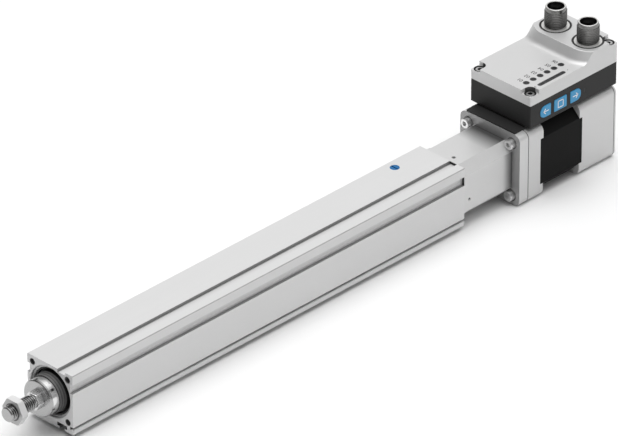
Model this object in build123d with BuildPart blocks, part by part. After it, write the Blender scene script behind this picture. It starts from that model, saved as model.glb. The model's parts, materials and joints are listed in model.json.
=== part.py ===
from build123d import *
import os
from math import cos, radians, sin, sqrt

os.makedirs("parts", exist_ok=True)

# Electric cylinder, size 32, with a stepper motor and a drive box on the motor.
# X runs along the axis from the profile's front face towards the motor, Z is up.
# The keys are on the -Y side. All sizes are in millimetres.

# Clearances and fits
fit_gap = 0.02
running_gap = 0.05
free_gap = 0.3

# Profile
stroke = 200.0
profile_extra = 80.4
profile_length = stroke + profile_extra
profile_half_width = 16.0
profile_foot = 18.45
profile_edge_radius = 0.4
bore_radius = 13.2
mouth_step = 0.9
mouth_radius = bore_radius + mouth_step
mouth_depth = 10.0
mouth_chamfer = 0.3
corner_hole_pitch = 24.8
corner_hole_radius = 1.65
corner_hole_depth = 14.0
slot_centre = -8.1
slot_width = 5.2
slot_depth = 1.7
side_slot_centre = 8.1
foot_slot_mouth = 3.7
foot_slot_inner = 6.9
foot_slot_lip = 1.2
foot_slot_depth = 3.3
groove_low = -15.4
groove_high = -14.2
groove_depth = 1.9
keyway_width = 3.0
keyway_depth = 0.8
plug_setback = 24.6
plug_x = profile_length - plug_setback
plug_y = 10.1
plug_radius = 2.6
plug_length = 2.4
plug_slot_width = 0.7
plug_slot_depth = 0.7

# Bearing cap, bush and wiper
cap_front = 1.2
cap_step_depth = 0.7
cap_step_radius = 13.1
cap_length = 26.8
wiper_seat_radius = 12.1
wiper_seat_depth = 4.8
bush_outer_radius = 11.5
bush_length = 20.0
wiper_lip_reach = 4.4
wiper_lip_radius = 11.4
wiper_lip_tip = 0.35
wiper_body_length = 2.5

# Rod, rod end and nut
rod_radius = 10.0
rod_bore_radius = 6.0
rod_face = -8.8
rod_end_flange = 1.5
rod_end_chamfer = 0.5
rod_plug_length = 14.0
hexagon_across_flats = 9.0
hexagon_length = 3.7
stud_radius = 4.0
stud_end = -30.0
stud_chamfer = 0.9
stud_neck_radius = 3.3
stud_neck_length = 1.2
nut_front = -26.0
nut_thickness = 4.0
nut_across_flats = 13.0
nut_bevel_width = 0.55
nut_bevel_height = 0.3

# Carriage, spindle nut and rings
carriage_length = 32.0
carriage_rest_gap = 16.4
carriage_start = profile_length - carriage_rest_gap - carriage_length
carriage_gap = 0.3
rod_seat_depth = 8.0
nut_body_radius = 8.0
nut_flange_radius = 10.5
nut_flange_thickness = 3.5
guide_start = 5.0
guide_length = 10.0
guide_groove_depth = 1.4
guide_groove_radius = bore_radius - guide_groove_depth
magnet_start = 18.0
magnet_length = 5.0
magnet_groove_depth = 2.2
magnet_groove_radius = bore_radius - magnet_groove_depth
buffer_thickness = 1.8
buffer_inner_radius = 10.6

# Spindle and its bearing
spindle_radius = 4.0
spindle_start = 14.0
thread_start = 24.0
thread_setback = 8.4
thread_end = profile_length - thread_setback
tip_radius = 2.5
tip_bush_length = 8.0
tip_bush_start = 1.0
journal_radius = 3.0
bearing_setback = 2.8
bearing_start = profile_length + bearing_setback
journal_length = 16.8
spindle_end = bearing_start + journal_length
bearing_width = 7.0
bearing_outer_radius = 11.0
bearing_outer_land = 8.4
bearing_inner_land = 5.4
ball_radius = 2.0
ball_count = 7
ball_gap = 0.1
retainer_width = 3.0
retainer_bore_radius = 6.2
lock_nut_radius = 5.2
lock_nut_width = 3.0

# Coupling housing
seal_thickness = 1.0
seal_inset = 0.35
seal_bore_step = 0.4
seal_bore_radius = bore_radius + seal_bore_step
collar_length = 2.3
collar_inset = 0.05
collar_half_width = profile_half_width - collar_inset
neck_inset = 0.3
neck_half_width = profile_half_width - neck_inset
spigot_length = 8.0
spigot_bore_radius = 6.0
coupling_bore_radius = 10.4
neck_run = 35.75
flange_start = profile_length + neck_run
flange_thickness = 6.55
flange_end = flange_start + flange_thickness
flange_half_width = 21.15
flange_corner_radius = 4.0
motor_bolt_pitch = 31.0
motor_bolt_radius = 1.5
bolt_hole_radius = 1.7
bolt_head_radius = 2.75
bolt_head_height = 3.0
bolt_socket_radius = 1.44
bolt_socket_depth = 1.6
bolt_head_chamfer = 0.25
neck_gap = 0.5
neck_chamfer = 2 * neck_half_width - motor_bolt_pitch + sqrt(2) * (bolt_head_radius + neck_gap)
bolt_reach = 5.5
set_screw_setback = 4.1
set_screw_x = profile_length + set_screw_setback
set_screw_offset = -4.3
set_screw_radius = 1.25
set_screw_length = 3.2
set_screw_socket = 0.7
set_screw_socket_depth = 1.0
set_screw_sink = 0.15

# Jaw coupling
hub_radius = 9.0
hub_grip = 5.4
hub_start = spindle_end - hub_grip
hub_length = 5.6
jaw_length = 5.0
jaw_gap = 0.6
jaw_inner_radius = 3.8
jaw_angle = 40.0
spider_leg_angle = 17.0
spindle_jaw_angles = (90, 210, 330)
motor_jaw_angles = (30, 150, 270)
spider_leg_angles = (0, 60, 120, 180, 240, 300)
spider_inner_radius = 2.0
spider_inset = 0.2
shaft_setback = 0.5
hub_screw_radius = 1.5

# Motor
pilot_radius = 11.0
pilot_length = 2.0
front_cover_length = 9.1
front_cover_end = flange_end + front_cover_length
stack_length = 31.5
stack_end = front_cover_end + stack_length
rear_cover_length = 25.8
motor_end = stack_end + rear_cover_length
rear_seam_offset = 1.4
rear_seam_size = 0.3
plate_edge_chamfer = 0.3
corner_lobe_length = 2.1
stack_chamfer = 7.4
stack_inset = 0.1
stack_half_width = flange_half_width - stack_inset
stator_bore_radius = 13.2
pole_count = 8
pole_width = 4.0
pole_shoe_depth = 1.6
pole_shoe_width = 7.6
pole_root = 0.6
coil_thickness = 1.3
coil_depth = 2.4
coil_gap = 0.9
yoke_inner_radius = stator_bore_radius + pole_shoe_depth + free_gap + coil_depth + coil_gap
coil_overhang = 1.6
front_bearing_inset = 1.8
shaft_clearance = 1.0
cover_wall = 3.0
cover_bore_step = 0.2
cover_bore_radius = yoke_inner_radius + cover_bore_step
rotor_air_gap = 0.3
rotor_radius = stator_bore_radius - rotor_air_gap
rotor_margin = 1.5
shaft_radius = 2.5
shaft_end_gap = 10.1
shaft_end = motor_end - shaft_end_gap
motor_bearing_radius = 8.0
motor_bearing_width = 5.0
motor_bearing_gap = 0.03
rear_bearing_setback = 20.1
rear_bearing_start = motor_end - rear_bearing_setback
magnet_disc_radius = 3.0
magnet_disc_length = 2.5
encoder_board_gap = 1.2
encoder_board_radius = 16.0
encoder_board_thickness = 1.2
encoder_chip_thickness = 0.9
encoder_chip_size = 4.0
tie_inset = 4.15
tie_pitch = 2 * (flange_half_width - tie_inset)
tie_head_radius = 2.2
tie_head_height = 1.6
tie_screw_radius = 1.2
tie_screw_length = 8.0
head_clearance = 0.2
tie_slot_depth = 0.9
tie_slot_length = 3.2
tie_slot_width = 0.6
lobe_overrun = 1.0

# Drive box
box_length = 65.5
box_front = motor_end - box_length
foot_setback = 0.25
foot_front = flange_start + foot_setback
foot_half_width = 17.0
foot_height = 1.1
box_low = flange_half_width + foot_height
box_wall = 2.0
box_edge_chamfer = 1.0
box_corner_radius = 0.6
key_margin = 3.35
key_low = box_low + key_margin
key_height = 6.9
key_high = key_low + key_height
key_headroom = 3.8
parting_height = key_high + key_headroom
cable_hole_radius = 4.0
cable_hole_setback = 9.6
cable_hole_x = motor_end - cable_hole_setback
cover_screw_inset = 3.3
cover_screw_radius = 1.0
screw_post_radius = 2.9
screw_boss_radius = 4.05
screw_tip_gap = 2.0
board_post_radius = 2.0
board_post_inset = 3.0
board_post_y = 10.0
board_drop = 4.7
board_level = parting_height - board_drop
board_thickness = 1.6
board_margin = 0.5
capacitor_setback = 16.4
capacitor_pitch = 10.0
capacitor_start = box_front + capacitor_setback
capacitor_places = (capacitor_start, capacitor_start + capacitor_pitch)
capacitor_y = 9.0
capacitor_radius = 4.0
capacitor_height = 8.0
chip_setback = 14.4
chip_pitch = 15.0
chip_start = box_front + chip_setback
chip_places = (chip_start, chip_start + chip_pitch)
chip_size = 7.0
chip_height = 1.2
lamp_chip_size = 1.6
seal_strip_width = 0.9
seal_strip_height = 0.8

# Cast cover with the connector hump
cover_height = 7.5
cover_top = parting_height + cover_height
hump_height = 5.9
hump_top = cover_top + hump_height
hump_ridge_setback = 23.1
hump_ridge_x = motor_end - hump_ridge_setback
hump_lean = 33.0
hump_ridge_corner = 13.0
hump_corner_inset = 10.05
hump_corner_y = flange_half_width - hump_corner_inset
hump_toe_radius = 4.0
hump_ridge_radius = 0.35
casting_spare = 30.0
edge_margin = 1.0
height_match = 0.01
cover_wall_thickness = 2.1
hump_front_wall = 5.5
connector_pad_wall = 0.6
connector_pad_depth = 1.2
pocket_radius = 3.15
pocket_depth = 4.3
notch_depth = 2.1
screw_head_radius = 2.2
screw_head_height = 2.0
screw_socket_radius = 1.2
screw_socket_depth = 1.1
lamp_setback = 7.0
lamp_start = box_front + lamp_setback
lamp_pitch = 5.22
lamp_count = 6
lamp_inset = 9.65
lamp_y = lamp_inset - flange_half_width
lamp_radius = 1.5
level_setback = 9.6
level_start = box_front + level_setback
level_length = 19.5
level_end = level_start + level_length
level_inset = 3.35
level_y = level_inset - flange_half_width
level_width = 1.9
window_sink = 0.1

# Connectors
connector_setback = 12.0
connector_x = motor_end - connector_setback
connector_inset = 9.65
connector_y = flange_half_width - connector_inset
connector_height = 11.7
connector_top = hump_top + connector_height
connector_radius = 6.0
connector_bore_radius = 4.45
connector_flange_radius = 7.8
connector_flange_depth = 2.4
connector_foot_radius = 5.6
connector_ring_width = 0.45
socket_depth = 9.0
thread_relief_radius = 5.5
thread_relief_height = 0.9
lead_height = 2.2
lead_radius = 5.45
connector_chamfer = 0.4
pin_circle_radius = 2.5
pin_radius = 0.5
pin_count = 4
pin_sink = 4.4
pin_start_angle = 45.0

# Keys
key_travel = 0.4
key_proud = 0.3
key_gap = 0.15
key_flange = 0.8
key_flange_rim = 0.7
key_back_setback = 7.6
key_edit_setback = 18.0
key_forward_setback = 30.2
key_back_length = 7.8
key_edit_length = 9.3
key_forward_length = 7.9
key_starts = {
    "key_back": box_front + key_back_setback,
    "key_edit": box_front + key_edit_setback,
    "key_forward": box_front + key_forward_setback,
}
key_lengths = {"key_back": key_back_length, "key_edit": key_edit_length, "key_forward": key_forward_length}
key_spans = {name: (key_starts[name], key_starts[name] + key_lengths[name]) for name in key_starts}
key_corner_radius = 0.5
key_round_margin = 0.1
switch_gap = 0.1
switch_depth = 2.2
switch_size = 4.0
switch_board_thickness = 1.2
switch_board_drop = 2.3
switch_board_top = parting_height - switch_board_drop
board_cut_margin = 2.0
key_edge_chamfer = 0.2
status_setback = 41.3
status_x = box_front + status_setback
status_lift = 3.5
status_z = key_low + status_lift
status_width = 1.2
status_height = 2.6


def turned(x_start, x_end, outer_radius, inner_radius=0.0, mode=Mode.ADD):
    """A ring or disc about the axis, from one X to another."""
    with BuildSketch(Plane.YZ.offset(x_start)) as section:
        Circle(outer_radius)
        if inner_radius:
            Circle(inner_radius, mode=Mode.SUBTRACT)
    extrude(section.sketch, amount=x_end - x_start, mode=mode)


def block(x_span, y_span, z_span, corner_radius=0.0, mode=Mode.ADD):
    """A block between three pairs of values, with upright corners rounded if asked."""
    width = x_span[1] - x_span[0]
    depth = y_span[1] - y_span[0]
    with BuildSketch(Plane.XY.offset(z_span[0])) as section:
        with Locations(((x_span[0] + x_span[1]) / 2, (y_span[0] + y_span[1]) / 2)):
            if corner_radius:
                RectangleRounded(width, depth, corner_radius)
            else:
                Rectangle(width, depth)
    extrude(section.sketch, amount=z_span[1] - z_span[0], mode=mode)


def upright(x, y, z_start, z_end, radius, mode=Mode.ADD):
    """A cylinder that stands along Z."""
    with BuildSketch(Plane.XY.offset(z_start)) as section:
        with Locations((x, y)):
            Circle(radius)
    extrude(section.sketch, amount=z_end - z_start, mode=mode)


def along_x(points, x_start, x_end, radius, mode=Mode.ADD):
    """Cylinders along X at the given (y, z) points."""
    with BuildSketch(Plane.YZ.offset(x_start)) as section:
        with Locations(*points):
            Circle(radius)
    extrude(section.sketch, amount=x_end - x_start, mode=mode)


def corners(pitch):
    half = pitch / 2
    return [(-half, -half), (half, -half), (half, half), (-half, half)]


def save(piece, name):
    piece.part.label = name
    export_step(piece.part, f"parts/{name}.step")


# Cylinder profile: a square extrusion on a foot, with a round bore and slots
profile_bottom = -profile_foot

with BuildPart() as profile_tube:
    with BuildSketch(Plane.YZ) as profile_section:
        with Locations((0, (profile_half_width - profile_foot) / 2)):
            RectangleRounded(2 * profile_half_width, profile_half_width + profile_foot, profile_edge_radius)
        with Locations((slot_centre, profile_half_width - slot_depth / 2)):
            Rectangle(slot_width, slot_depth, mode=Mode.SUBTRACT)
        for side in (-1, 1):
            with Locations((side * (profile_half_width - slot_depth / 2), side_slot_centre)):
                Rectangle(slot_depth, slot_width, mode=Mode.SUBTRACT)
            groove_centre = (side * (profile_half_width - groove_depth / 2), (groove_low + groove_high) / 2)
            with Locations(groove_centre):
                Rectangle(groove_depth, groove_high - groove_low, mode=Mode.SUBTRACT)
            with Locations((side * bore_radius, 0)):
                Rectangle(2 * keyway_depth, keyway_width, mode=Mode.SUBTRACT)
        with Locations((slot_centre, profile_bottom + foot_slot_lip / 2)):
            Rectangle(foot_slot_mouth, foot_slot_lip, mode=Mode.SUBTRACT)
        with Locations((slot_centre, profile_bottom + (foot_slot_lip + foot_slot_depth) / 2)):
            Rectangle(foot_slot_inner, foot_slot_depth - foot_slot_lip, mode=Mode.SUBTRACT)
        Circle(bore_radius, mode=Mode.SUBTRACT)
    extrude(amount=profile_length)
    turned(0, mouth_depth, mouth_radius, mode=Mode.SUBTRACT)
    along_x(corners(corner_hole_pitch), 0, corner_hole_depth, corner_hole_radius, mode=Mode.SUBTRACT)
    upright(plug_x, plug_y, profile_half_width - plug_length, profile_half_width, plug_radius,
            mode=Mode.SUBTRACT)
    mouth_edge = profile_tube.faces().sort_by(Axis.X)[0].edges().filter_by(GeomType.CIRCLE)
    chamfer(mouth_edge.sort_by(SortBy.RADIUS)[-1], mouth_chamfer)
save(profile_tube, "profile_tube")

# Slotted plug over the service hole in the profile's top
plug_top = profile_half_width - window_sink
with BuildPart() as service_plug:
    upright(plug_x, plug_y, profile_half_width - plug_length, plug_top, plug_radius - fit_gap)
    block((plug_x - plug_slot_width / 2, plug_x + plug_slot_width / 2),
          (plug_y - plug_radius, plug_y + plug_radius), (plug_top - plug_slot_depth, plug_top),
          mode=Mode.SUBTRACT)
save(service_plug, "service_plug")

# Bearing cap in the mouth of the profile, with the rod bush and the wiper
cap_floor = cap_front + cap_step_depth
wiper_seat = cap_floor + wiper_seat_depth
bush_end = wiper_seat + bush_length
cap_end = cap_front + cap_length
bush_inner_radius = rod_radius + running_gap

with BuildPart() as bearing_cap:
    turned(cap_front, mouth_depth, mouth_radius - fit_gap)
    turned(mouth_depth, cap_end, bore_radius - fit_gap)
    turned(cap_front, cap_floor, cap_step_radius, mode=Mode.SUBTRACT)
    turned(cap_floor, wiper_seat, wiper_seat_radius, mode=Mode.SUBTRACT)
    turned(wiper_seat, bush_end, bush_outer_radius, mode=Mode.SUBTRACT)
    turned(bush_end, cap_end, rod_radius + free_gap, mode=Mode.SUBTRACT)
save(bearing_cap, "bearing_cap")

with BuildPart() as rod_bush:
    turned(wiper_seat, bush_end, bush_outer_radius - fit_gap, bush_inner_radius)
save(rod_bush, "rod_bush")

wiper_front = wiper_seat - wiper_body_length
lip_front = cap_front - wiper_lip_reach
with BuildPart() as rod_wiper:
    turned(wiper_front, wiper_seat, wiper_seat_radius - fit_gap)
    with BuildSketch(Plane.XY) as lip_section:
        with BuildLine():
            Polyline((wiper_front, 0), (wiper_front, wiper_lip_radius),
                     (lip_front, bush_inner_radius + wiper_lip_tip), (lip_front, 0), close=True)
        make_face()
    revolve(axis=Axis.X)
    turned(lip_front, wiper_seat, bush_inner_radius, mode=Mode.SUBTRACT)
save(rod_wiper, "rod_wiper")

# Hollow piston rod, its screwed-in end and the nut on the stud
tube_start = rod_face + rod_end_flange
tube_end = carriage_start + rod_seat_depth
with BuildPart() as piston_rod:
    turned(tube_start, tube_end, rod_radius, rod_bore_radius)
save(piston_rod, "piston_rod")

hexagon_front = rod_face - hexagon_length
with BuildPart() as rod_end:
    turned(rod_face, tube_start, rod_radius)
    chamfer(rod_end.faces().sort_by(Axis.X)[0].edges(), rod_end_chamfer)
    turned(tube_start, tube_start + rod_plug_length, rod_bore_radius - fit_gap)
    with BuildSketch(Plane.YZ.offset(rod_face)):
        RegularPolygon(hexagon_across_flats / 2, 6, major_radius=False)
    extrude(amount=-hexagon_length)
    turned(hexagon_front - stud_neck_length, hexagon_front, stud_neck_radius)
    turned(stud_end, hexagon_front - stud_neck_length, stud_radius)
    chamfer(rod_end.faces().sort_by(Axis.X)[0].edges(), stud_chamfer)
save(rod_end, "rod_end")

with BuildPart() as rod_nut:
    with BuildSketch(Plane.YZ.offset(nut_front)):
        RegularPolygon(nut_across_flats / 2, 6, major_radius=False)
    extrude(amount=nut_thickness)
    nut_back = nut_front + nut_thickness
    nut_corner_radius = nut_across_flats / sqrt(3)
    nut_face_radius = nut_corner_radius - nut_bevel_width
    with BuildSketch(Plane.XY) as nut_turning:
        with BuildLine():
            Polyline((nut_front, 0), (nut_front, nut_face_radius),
                     (nut_front + nut_bevel_height, nut_corner_radius),
                     (nut_back - nut_bevel_height, nut_corner_radius),
                     (nut_back, nut_face_radius), (nut_back, 0), close=True)
        make_face()
    revolve(axis=Axis.X, mode=Mode.INTERSECT)
    turned(nut_front, nut_back, stud_radius + fit_gap, mode=Mode.SUBTRACT)
save(rod_nut, "rod_nut")

# Carriage at the rod's rear end, with the spindle nut, guide ring and magnet ring
carriage_end = carriage_start + carriage_length
carriage_radius = bore_radius - carriage_gap
guide_x = carriage_start + guide_start
magnet_x = carriage_start + magnet_start
with BuildPart() as carriage:
    turned(carriage_start, carriage_end, carriage_radius)
    turned(guide_x, guide_x + guide_length, carriage_radius, guide_groove_radius, mode=Mode.SUBTRACT)
    turned(magnet_x, magnet_x + magnet_length, carriage_radius, magnet_groove_radius, mode=Mode.SUBTRACT)
    turned(carriage_start, tube_end, rod_radius + fit_gap, mode=Mode.SUBTRACT)
    turned(tube_end, carriage_end, nut_body_radius + fit_gap, mode=Mode.SUBTRACT)
save(carriage, "carriage")

with BuildPart() as spindle_nut:
    turned(tube_end, carriage_end, nut_body_radius)
    turned(carriage_end, carriage_end + nut_flange_thickness, nut_flange_radius)
    turned(tube_end, carriage_end + nut_flange_thickness, spindle_radius + running_gap, mode=Mode.SUBTRACT)
save(spindle_nut, "spindle_nut")

with BuildPart() as guide_ring:
    turned(guide_x, guide_x + guide_length, bore_radius - running_gap, guide_groove_radius + fit_gap)
    for side in (-1, 1):
        tab_inner = guide_groove_radius + 2 * fit_gap
        tab_outer = bore_radius + keyway_depth - free_gap / 2
        tab_span = sorted((side * tab_inner, side * tab_outer))
        tab_half = keyway_width / 2 - 2 * running_gap
        block((guide_x, guide_x + guide_length), tab_span, (-tab_half, tab_half))
save(guide_ring, "guide_ring")

with BuildPart() as magnet_ring:
    turned(magnet_x, magnet_x + magnet_length, carriage_radius - running_gap, magnet_groove_radius + fit_gap)
save(magnet_ring, "magnet_ring")

spigot_start = profile_length - spigot_length
with BuildPart() as end_buffers:
    turned(cap_end, cap_end + buffer_thickness, bore_radius - fit_gap, buffer_inner_radius)
    turned(spigot_start - buffer_thickness, spigot_start, bore_radius - fit_gap, buffer_inner_radius)
save(end_buffers, "end_buffers")

# Spindle with its tip bush inside the hollow rod
bearing_end = bearing_start + bearing_width
with BuildPart() as spindle:
    turned(spindle_start, thread_start, tip_radius)
    turned(thread_start, thread_end, spindle_radius)
    turned(thread_end, spindle_end, journal_radius)
    turned(thread_end, bearing_start, spindle_radius)
save(spindle, "spindle")

tip_bush_x = spindle_start + tip_bush_start
with BuildPart() as spindle_tip_bush:
    turned(tip_bush_x, tip_bush_x + tip_bush_length, rod_bore_radius - running_gap, tip_radius + fit_gap)
save(spindle_tip_bush, "spindle_tip_bush")

# Spindle bearing with its retainer and lock nut
ball_circle = (bearing_outer_land + bearing_inner_land) / 2
bearing_middle = bearing_start + bearing_width / 2
raceway_radius = ball_radius + ball_gap
with BuildPart() as bearing_outer_ring:
    turned(bearing_start, bearing_end, bearing_outer_radius - fit_gap, bearing_outer_land)
    with BuildSketch(Plane.XY):
        with Locations((bearing_middle, ball_circle)):
            Circle(raceway_radius)
    revolve(axis=Axis.X, mode=Mode.SUBTRACT)
save(bearing_outer_ring, "bearing_outer_ring")

with BuildPart() as bearing_inner_ring:
    turned(bearing_start, bearing_end, bearing_inner_land, journal_radius + fit_gap)
    with BuildSketch(Plane.XY):
        with Locations((bearing_middle, ball_circle)):
            Circle(raceway_radius)
    revolve(axis=Axis.X, mode=Mode.SUBTRACT)
save(bearing_inner_ring, "bearing_inner_ring")

with BuildPart() as bearing_balls:
    with Locations(Plane.YZ.offset(bearing_middle)):
        with PolarLocations(ball_circle, ball_count):
            Sphere(ball_radius)
save(bearing_balls, "bearing_balls")

retainer_end = bearing_end + retainer_width
with BuildPart() as bearing_retainer:
    turned(bearing_end, retainer_end, bearing_outer_radius - fit_gap, retainer_bore_radius)
save(bearing_retainer, "bearing_retainer")

with BuildPart() as spindle_lock_nut:
    turned(bearing_end, bearing_end + lock_nut_width, lock_nut_radius, journal_radius + fit_gap)
save(spindle_lock_nut, "spindle_lock_nut")

# Seal between the profile and the coupling housing
with BuildPart() as end_seal:
    with BuildSketch(Plane.YZ.offset(profile_length)):
        Rectangle(2 * (collar_half_width - seal_inset), 2 * (collar_half_width - seal_inset))
        chamfer(vertices(), neck_chamfer)
        Circle(seal_bore_radius, mode=Mode.SUBTRACT)
    extrude(amount=seal_thickness)
save(end_seal, "end_seal")

# Coupling housing: spigot, collar, neck with chamfered corners and motor flange
collar_end = profile_length + collar_length
bolt_points = corners(motor_bolt_pitch)
with BuildPart() as coupling_housing:
    turned(spigot_start, profile_length, bore_radius - fit_gap)
    with BuildSketch(Plane.YZ.offset(profile_length)):
        Rectangle(2 * collar_half_width, 2 * collar_half_width)
        chamfer(vertices(), neck_chamfer)
    extrude(amount=collar_length)
    with BuildSketch(Plane.YZ.offset(profile_length)):
        seat_width = 2 * (collar_half_width - seal_inset + fit_gap)
        Rectangle(seat_width, seat_width)
        chamfer(vertices(), neck_chamfer)
        Circle(seal_bore_radius - fit_gap, mode=Mode.SUBTRACT)
    extrude(amount=seal_thickness, mode=Mode.SUBTRACT)
    with BuildSketch(Plane.YZ.offset(collar_end)):
        Rectangle(2 * neck_half_width, 2 * neck_half_width)
        chamfer(vertices(), neck_chamfer)
    extrude(amount=flange_start - collar_end)
    with BuildSketch(Plane.YZ.offset(flange_start)):
        RectangleRounded(2 * flange_half_width, 2 * flange_half_width, flange_corner_radius)
    extrude(amount=flange_end - flange_start)
    chamfer(coupling_housing.faces().sort_by(Axis.X)[-1].edges(), plate_edge_chamfer)
    turned(spigot_start, bearing_start, spigot_bore_radius, mode=Mode.SUBTRACT)
    turned(bearing_start, retainer_end, bearing_outer_radius, mode=Mode.SUBTRACT)
    turned(retainer_end, flange_end, coupling_bore_radius, mode=Mode.SUBTRACT)
    turned(flange_end - pilot_length - free_gap, flange_end, pilot_radius + fit_gap, mode=Mode.SUBTRACT)
    along_x(bolt_points, flange_start, flange_end, bolt_hole_radius, mode=Mode.SUBTRACT)
    upright(set_screw_x, set_screw_offset, neck_half_width - set_screw_length, neck_half_width,
            set_screw_radius, mode=Mode.SUBTRACT)
    with BuildSketch(Plane.XZ.offset(neck_half_width)) as side_hole:
        with Locations((set_screw_x, set_screw_offset)):
            Circle(set_screw_radius)
    extrude(side_hole.sketch, amount=-set_screw_length, mode=Mode.SUBTRACT)
save(coupling_housing, "coupling_housing")

# Two set screws that hold the bearing, one on top and one on the key side
set_screw_face = neck_half_width - set_screw_sink
with BuildPart() as set_screws:
    upright(set_screw_x, set_screw_offset, neck_half_width - set_screw_length, set_screw_face,
            set_screw_radius - fit_gap)
    upright(set_screw_x, set_screw_offset, set_screw_face - set_screw_socket_depth, set_screw_face,
            set_screw_socket, mode=Mode.SUBTRACT)
    with BuildSketch(Plane.XZ.offset(set_screw_face)) as side_screw:
        with Locations((set_screw_x, set_screw_offset)):
            Circle(set_screw_radius - fit_gap)
    extrude(side_screw.sketch, amount=set_screw_sink - set_screw_length)
    with BuildSketch(Plane.XZ.offset(set_screw_face)) as side_socket:
        with Locations((set_screw_x, set_screw_offset)):
            Circle(set_screw_socket)
    extrude(side_socket.sketch, amount=-set_screw_socket_depth, mode=Mode.SUBTRACT)
save(set_screws, "set_screws")

# Socket head screws through the flange into the motor
with BuildPart() as flange_screws:
    along_x(bolt_points, flange_start - bolt_head_height, flange_start, bolt_head_radius)
    head_rims = flange_screws.faces().group_by(Axis.X)[0].edges()
    chamfer(head_rims, bolt_head_chamfer)
    along_x(bolt_points, flange_start, flange_end + bolt_reach, motor_bolt_radius)
    with BuildSketch(Plane.YZ.offset(flange_start - bolt_head_height)) as sockets:
        with Locations(*bolt_points):
            RegularPolygon(bolt_socket_radius, 6)
    extrude(sockets.sketch, amount=bolt_socket_depth, mode=Mode.SUBTRACT)
save(flange_screws, "flange_screws")

# Jaw coupling: two hubs with three jaws each and a rubber spider between them
hub_face = hub_start + hub_length
far_hub_face = hub_face + jaw_length + jaw_gap


def sectors(x_start, x_end, inner_radius, outer_radius, middle_angles, width_angle):
    """Ring sectors about the axis, each centred on one of the given angles."""
    for middle in middle_angles:
        with BuildSketch(Plane.YZ.offset(x_start)) as sector:
            with BuildLine():
                start = radians(middle - width_angle / 2)
                end = radians(middle + width_angle / 2)
                inner_start = (inner_radius * cos(start), inner_radius * sin(start))
                inner_end = (inner_radius * cos(end), inner_radius * sin(end))
                outer_start = (outer_radius * cos(start), outer_radius * sin(start))
                outer_end = (outer_radius * cos(end), outer_radius * sin(end))
                Line(inner_start, outer_start)
                RadiusArc(outer_start, outer_end, -outer_radius)
                Line(outer_end, inner_end)
                RadiusArc(inner_end, inner_start, inner_radius)
            make_face()
        extrude(sector.sketch, amount=x_end - x_start)


with BuildPart() as coupling_hub_spindle:
    turned(hub_start, hub_face, hub_radius, journal_radius + fit_gap)
    sectors(hub_face, hub_face + jaw_length, jaw_inner_radius, hub_radius, spindle_jaw_angles, jaw_angle)
    upright(hub_start + hub_length / 2, 0, 0, hub_radius, hub_screw_radius + fit_gap, mode=Mode.SUBTRACT)
save(coupling_hub_spindle, "coupling_hub_spindle")

with BuildPart() as coupling_hub_motor:
    turned(far_hub_face, far_hub_face + hub_length, hub_radius, shaft_radius + fit_gap)
    sectors(far_hub_face - jaw_length, far_hub_face, jaw_inner_radius, hub_radius, motor_jaw_angles,
            jaw_angle)
    upright(far_hub_face + hub_length / 2, 0, 0, hub_radius, hub_screw_radius + fit_gap, mode=Mode.SUBTRACT)
save(coupling_hub_motor, "coupling_hub_motor")

with BuildPart() as coupling_spider:
    turned(hub_face + jaw_gap / 2, far_hub_face - jaw_gap / 2, jaw_inner_radius - fit_gap,
           spider_inner_radius)
    spider_ring_middle = (spider_inner_radius + jaw_inner_radius) / 2
    sectors(hub_face + jaw_gap, far_hub_face - jaw_gap, spider_ring_middle, hub_radius - spider_inset,
            spider_leg_angles, spider_leg_angle)
save(coupling_spider, "coupling_spider")

with BuildPart() as coupling_screws:
    for hub_x, bore in ((hub_start, journal_radius), (far_hub_face, shaft_radius)):
        upright(hub_x + hub_length / 2, 0, bore + fit_gap, hub_radius - free_gap, hub_screw_radius)
save(coupling_screws, "coupling_screws")

# Motor: front cover with pilot, stator pack, rear cover

def motor_square(x_start, x_end):
    """The motor's rounded square section between two X values."""
    with BuildSketch(Plane.YZ.offset(x_start)) as square:
        RectangleRounded(2 * flange_half_width, 2 * flange_half_width, flange_corner_radius)
    extrude(square.sketch, amount=x_end - x_start)


def corner_lobes(x_start, x_end):
    """Corner lobes that lie over the stator pack's cut corners."""
    outside = flange_half_width + lobe_overrun
    cut_corner = 2 * stack_half_width - stack_chamfer - outside
    with BuildSketch(Plane.YZ.offset(x_start)) as lobes:
        RectangleRounded(2 * flange_half_width, 2 * flange_half_width, flange_corner_radius)
        with BuildLine():
            Polyline((outside, cut_corner), (cut_corner, outside), (-cut_corner, outside),
                     (-outside, cut_corner), (-outside, -cut_corner), (-cut_corner, -outside),
                     (cut_corner, -outside), (outside, -cut_corner), close=True)
        make_face(mode=Mode.SUBTRACT)
    extrude(lobes.sketch, amount=x_end - x_start)


front_bearing_start = flange_end + front_bearing_inset
tie_points = corners(tie_pitch)
with BuildPart() as motor_front_cover:
    motor_square(flange_end, front_cover_end)
    chamfer(motor_front_cover.faces().sort_by(Axis.X)[0].edges(), plate_edge_chamfer)
    turned(flange_end - pilot_length, flange_end, pilot_radius)
    corner_lobes(front_cover_end, front_cover_end + corner_lobe_length)
    turned(flange_end - pilot_length, front_cover_end, shaft_radius + shaft_clearance, mode=Mode.SUBTRACT)
    turned(front_bearing_start, front_cover_end, motor_bearing_radius, mode=Mode.SUBTRACT)
    turned(front_bearing_start + motor_bearing_width, front_cover_end, cover_bore_radius, mode=Mode.SUBTRACT)
    along_x(bolt_points, flange_end, flange_end + bolt_reach + free_gap, motor_bolt_radius + fit_gap,
            mode=Mode.SUBTRACT)
save(motor_front_cover, "motor_front_cover")

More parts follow.
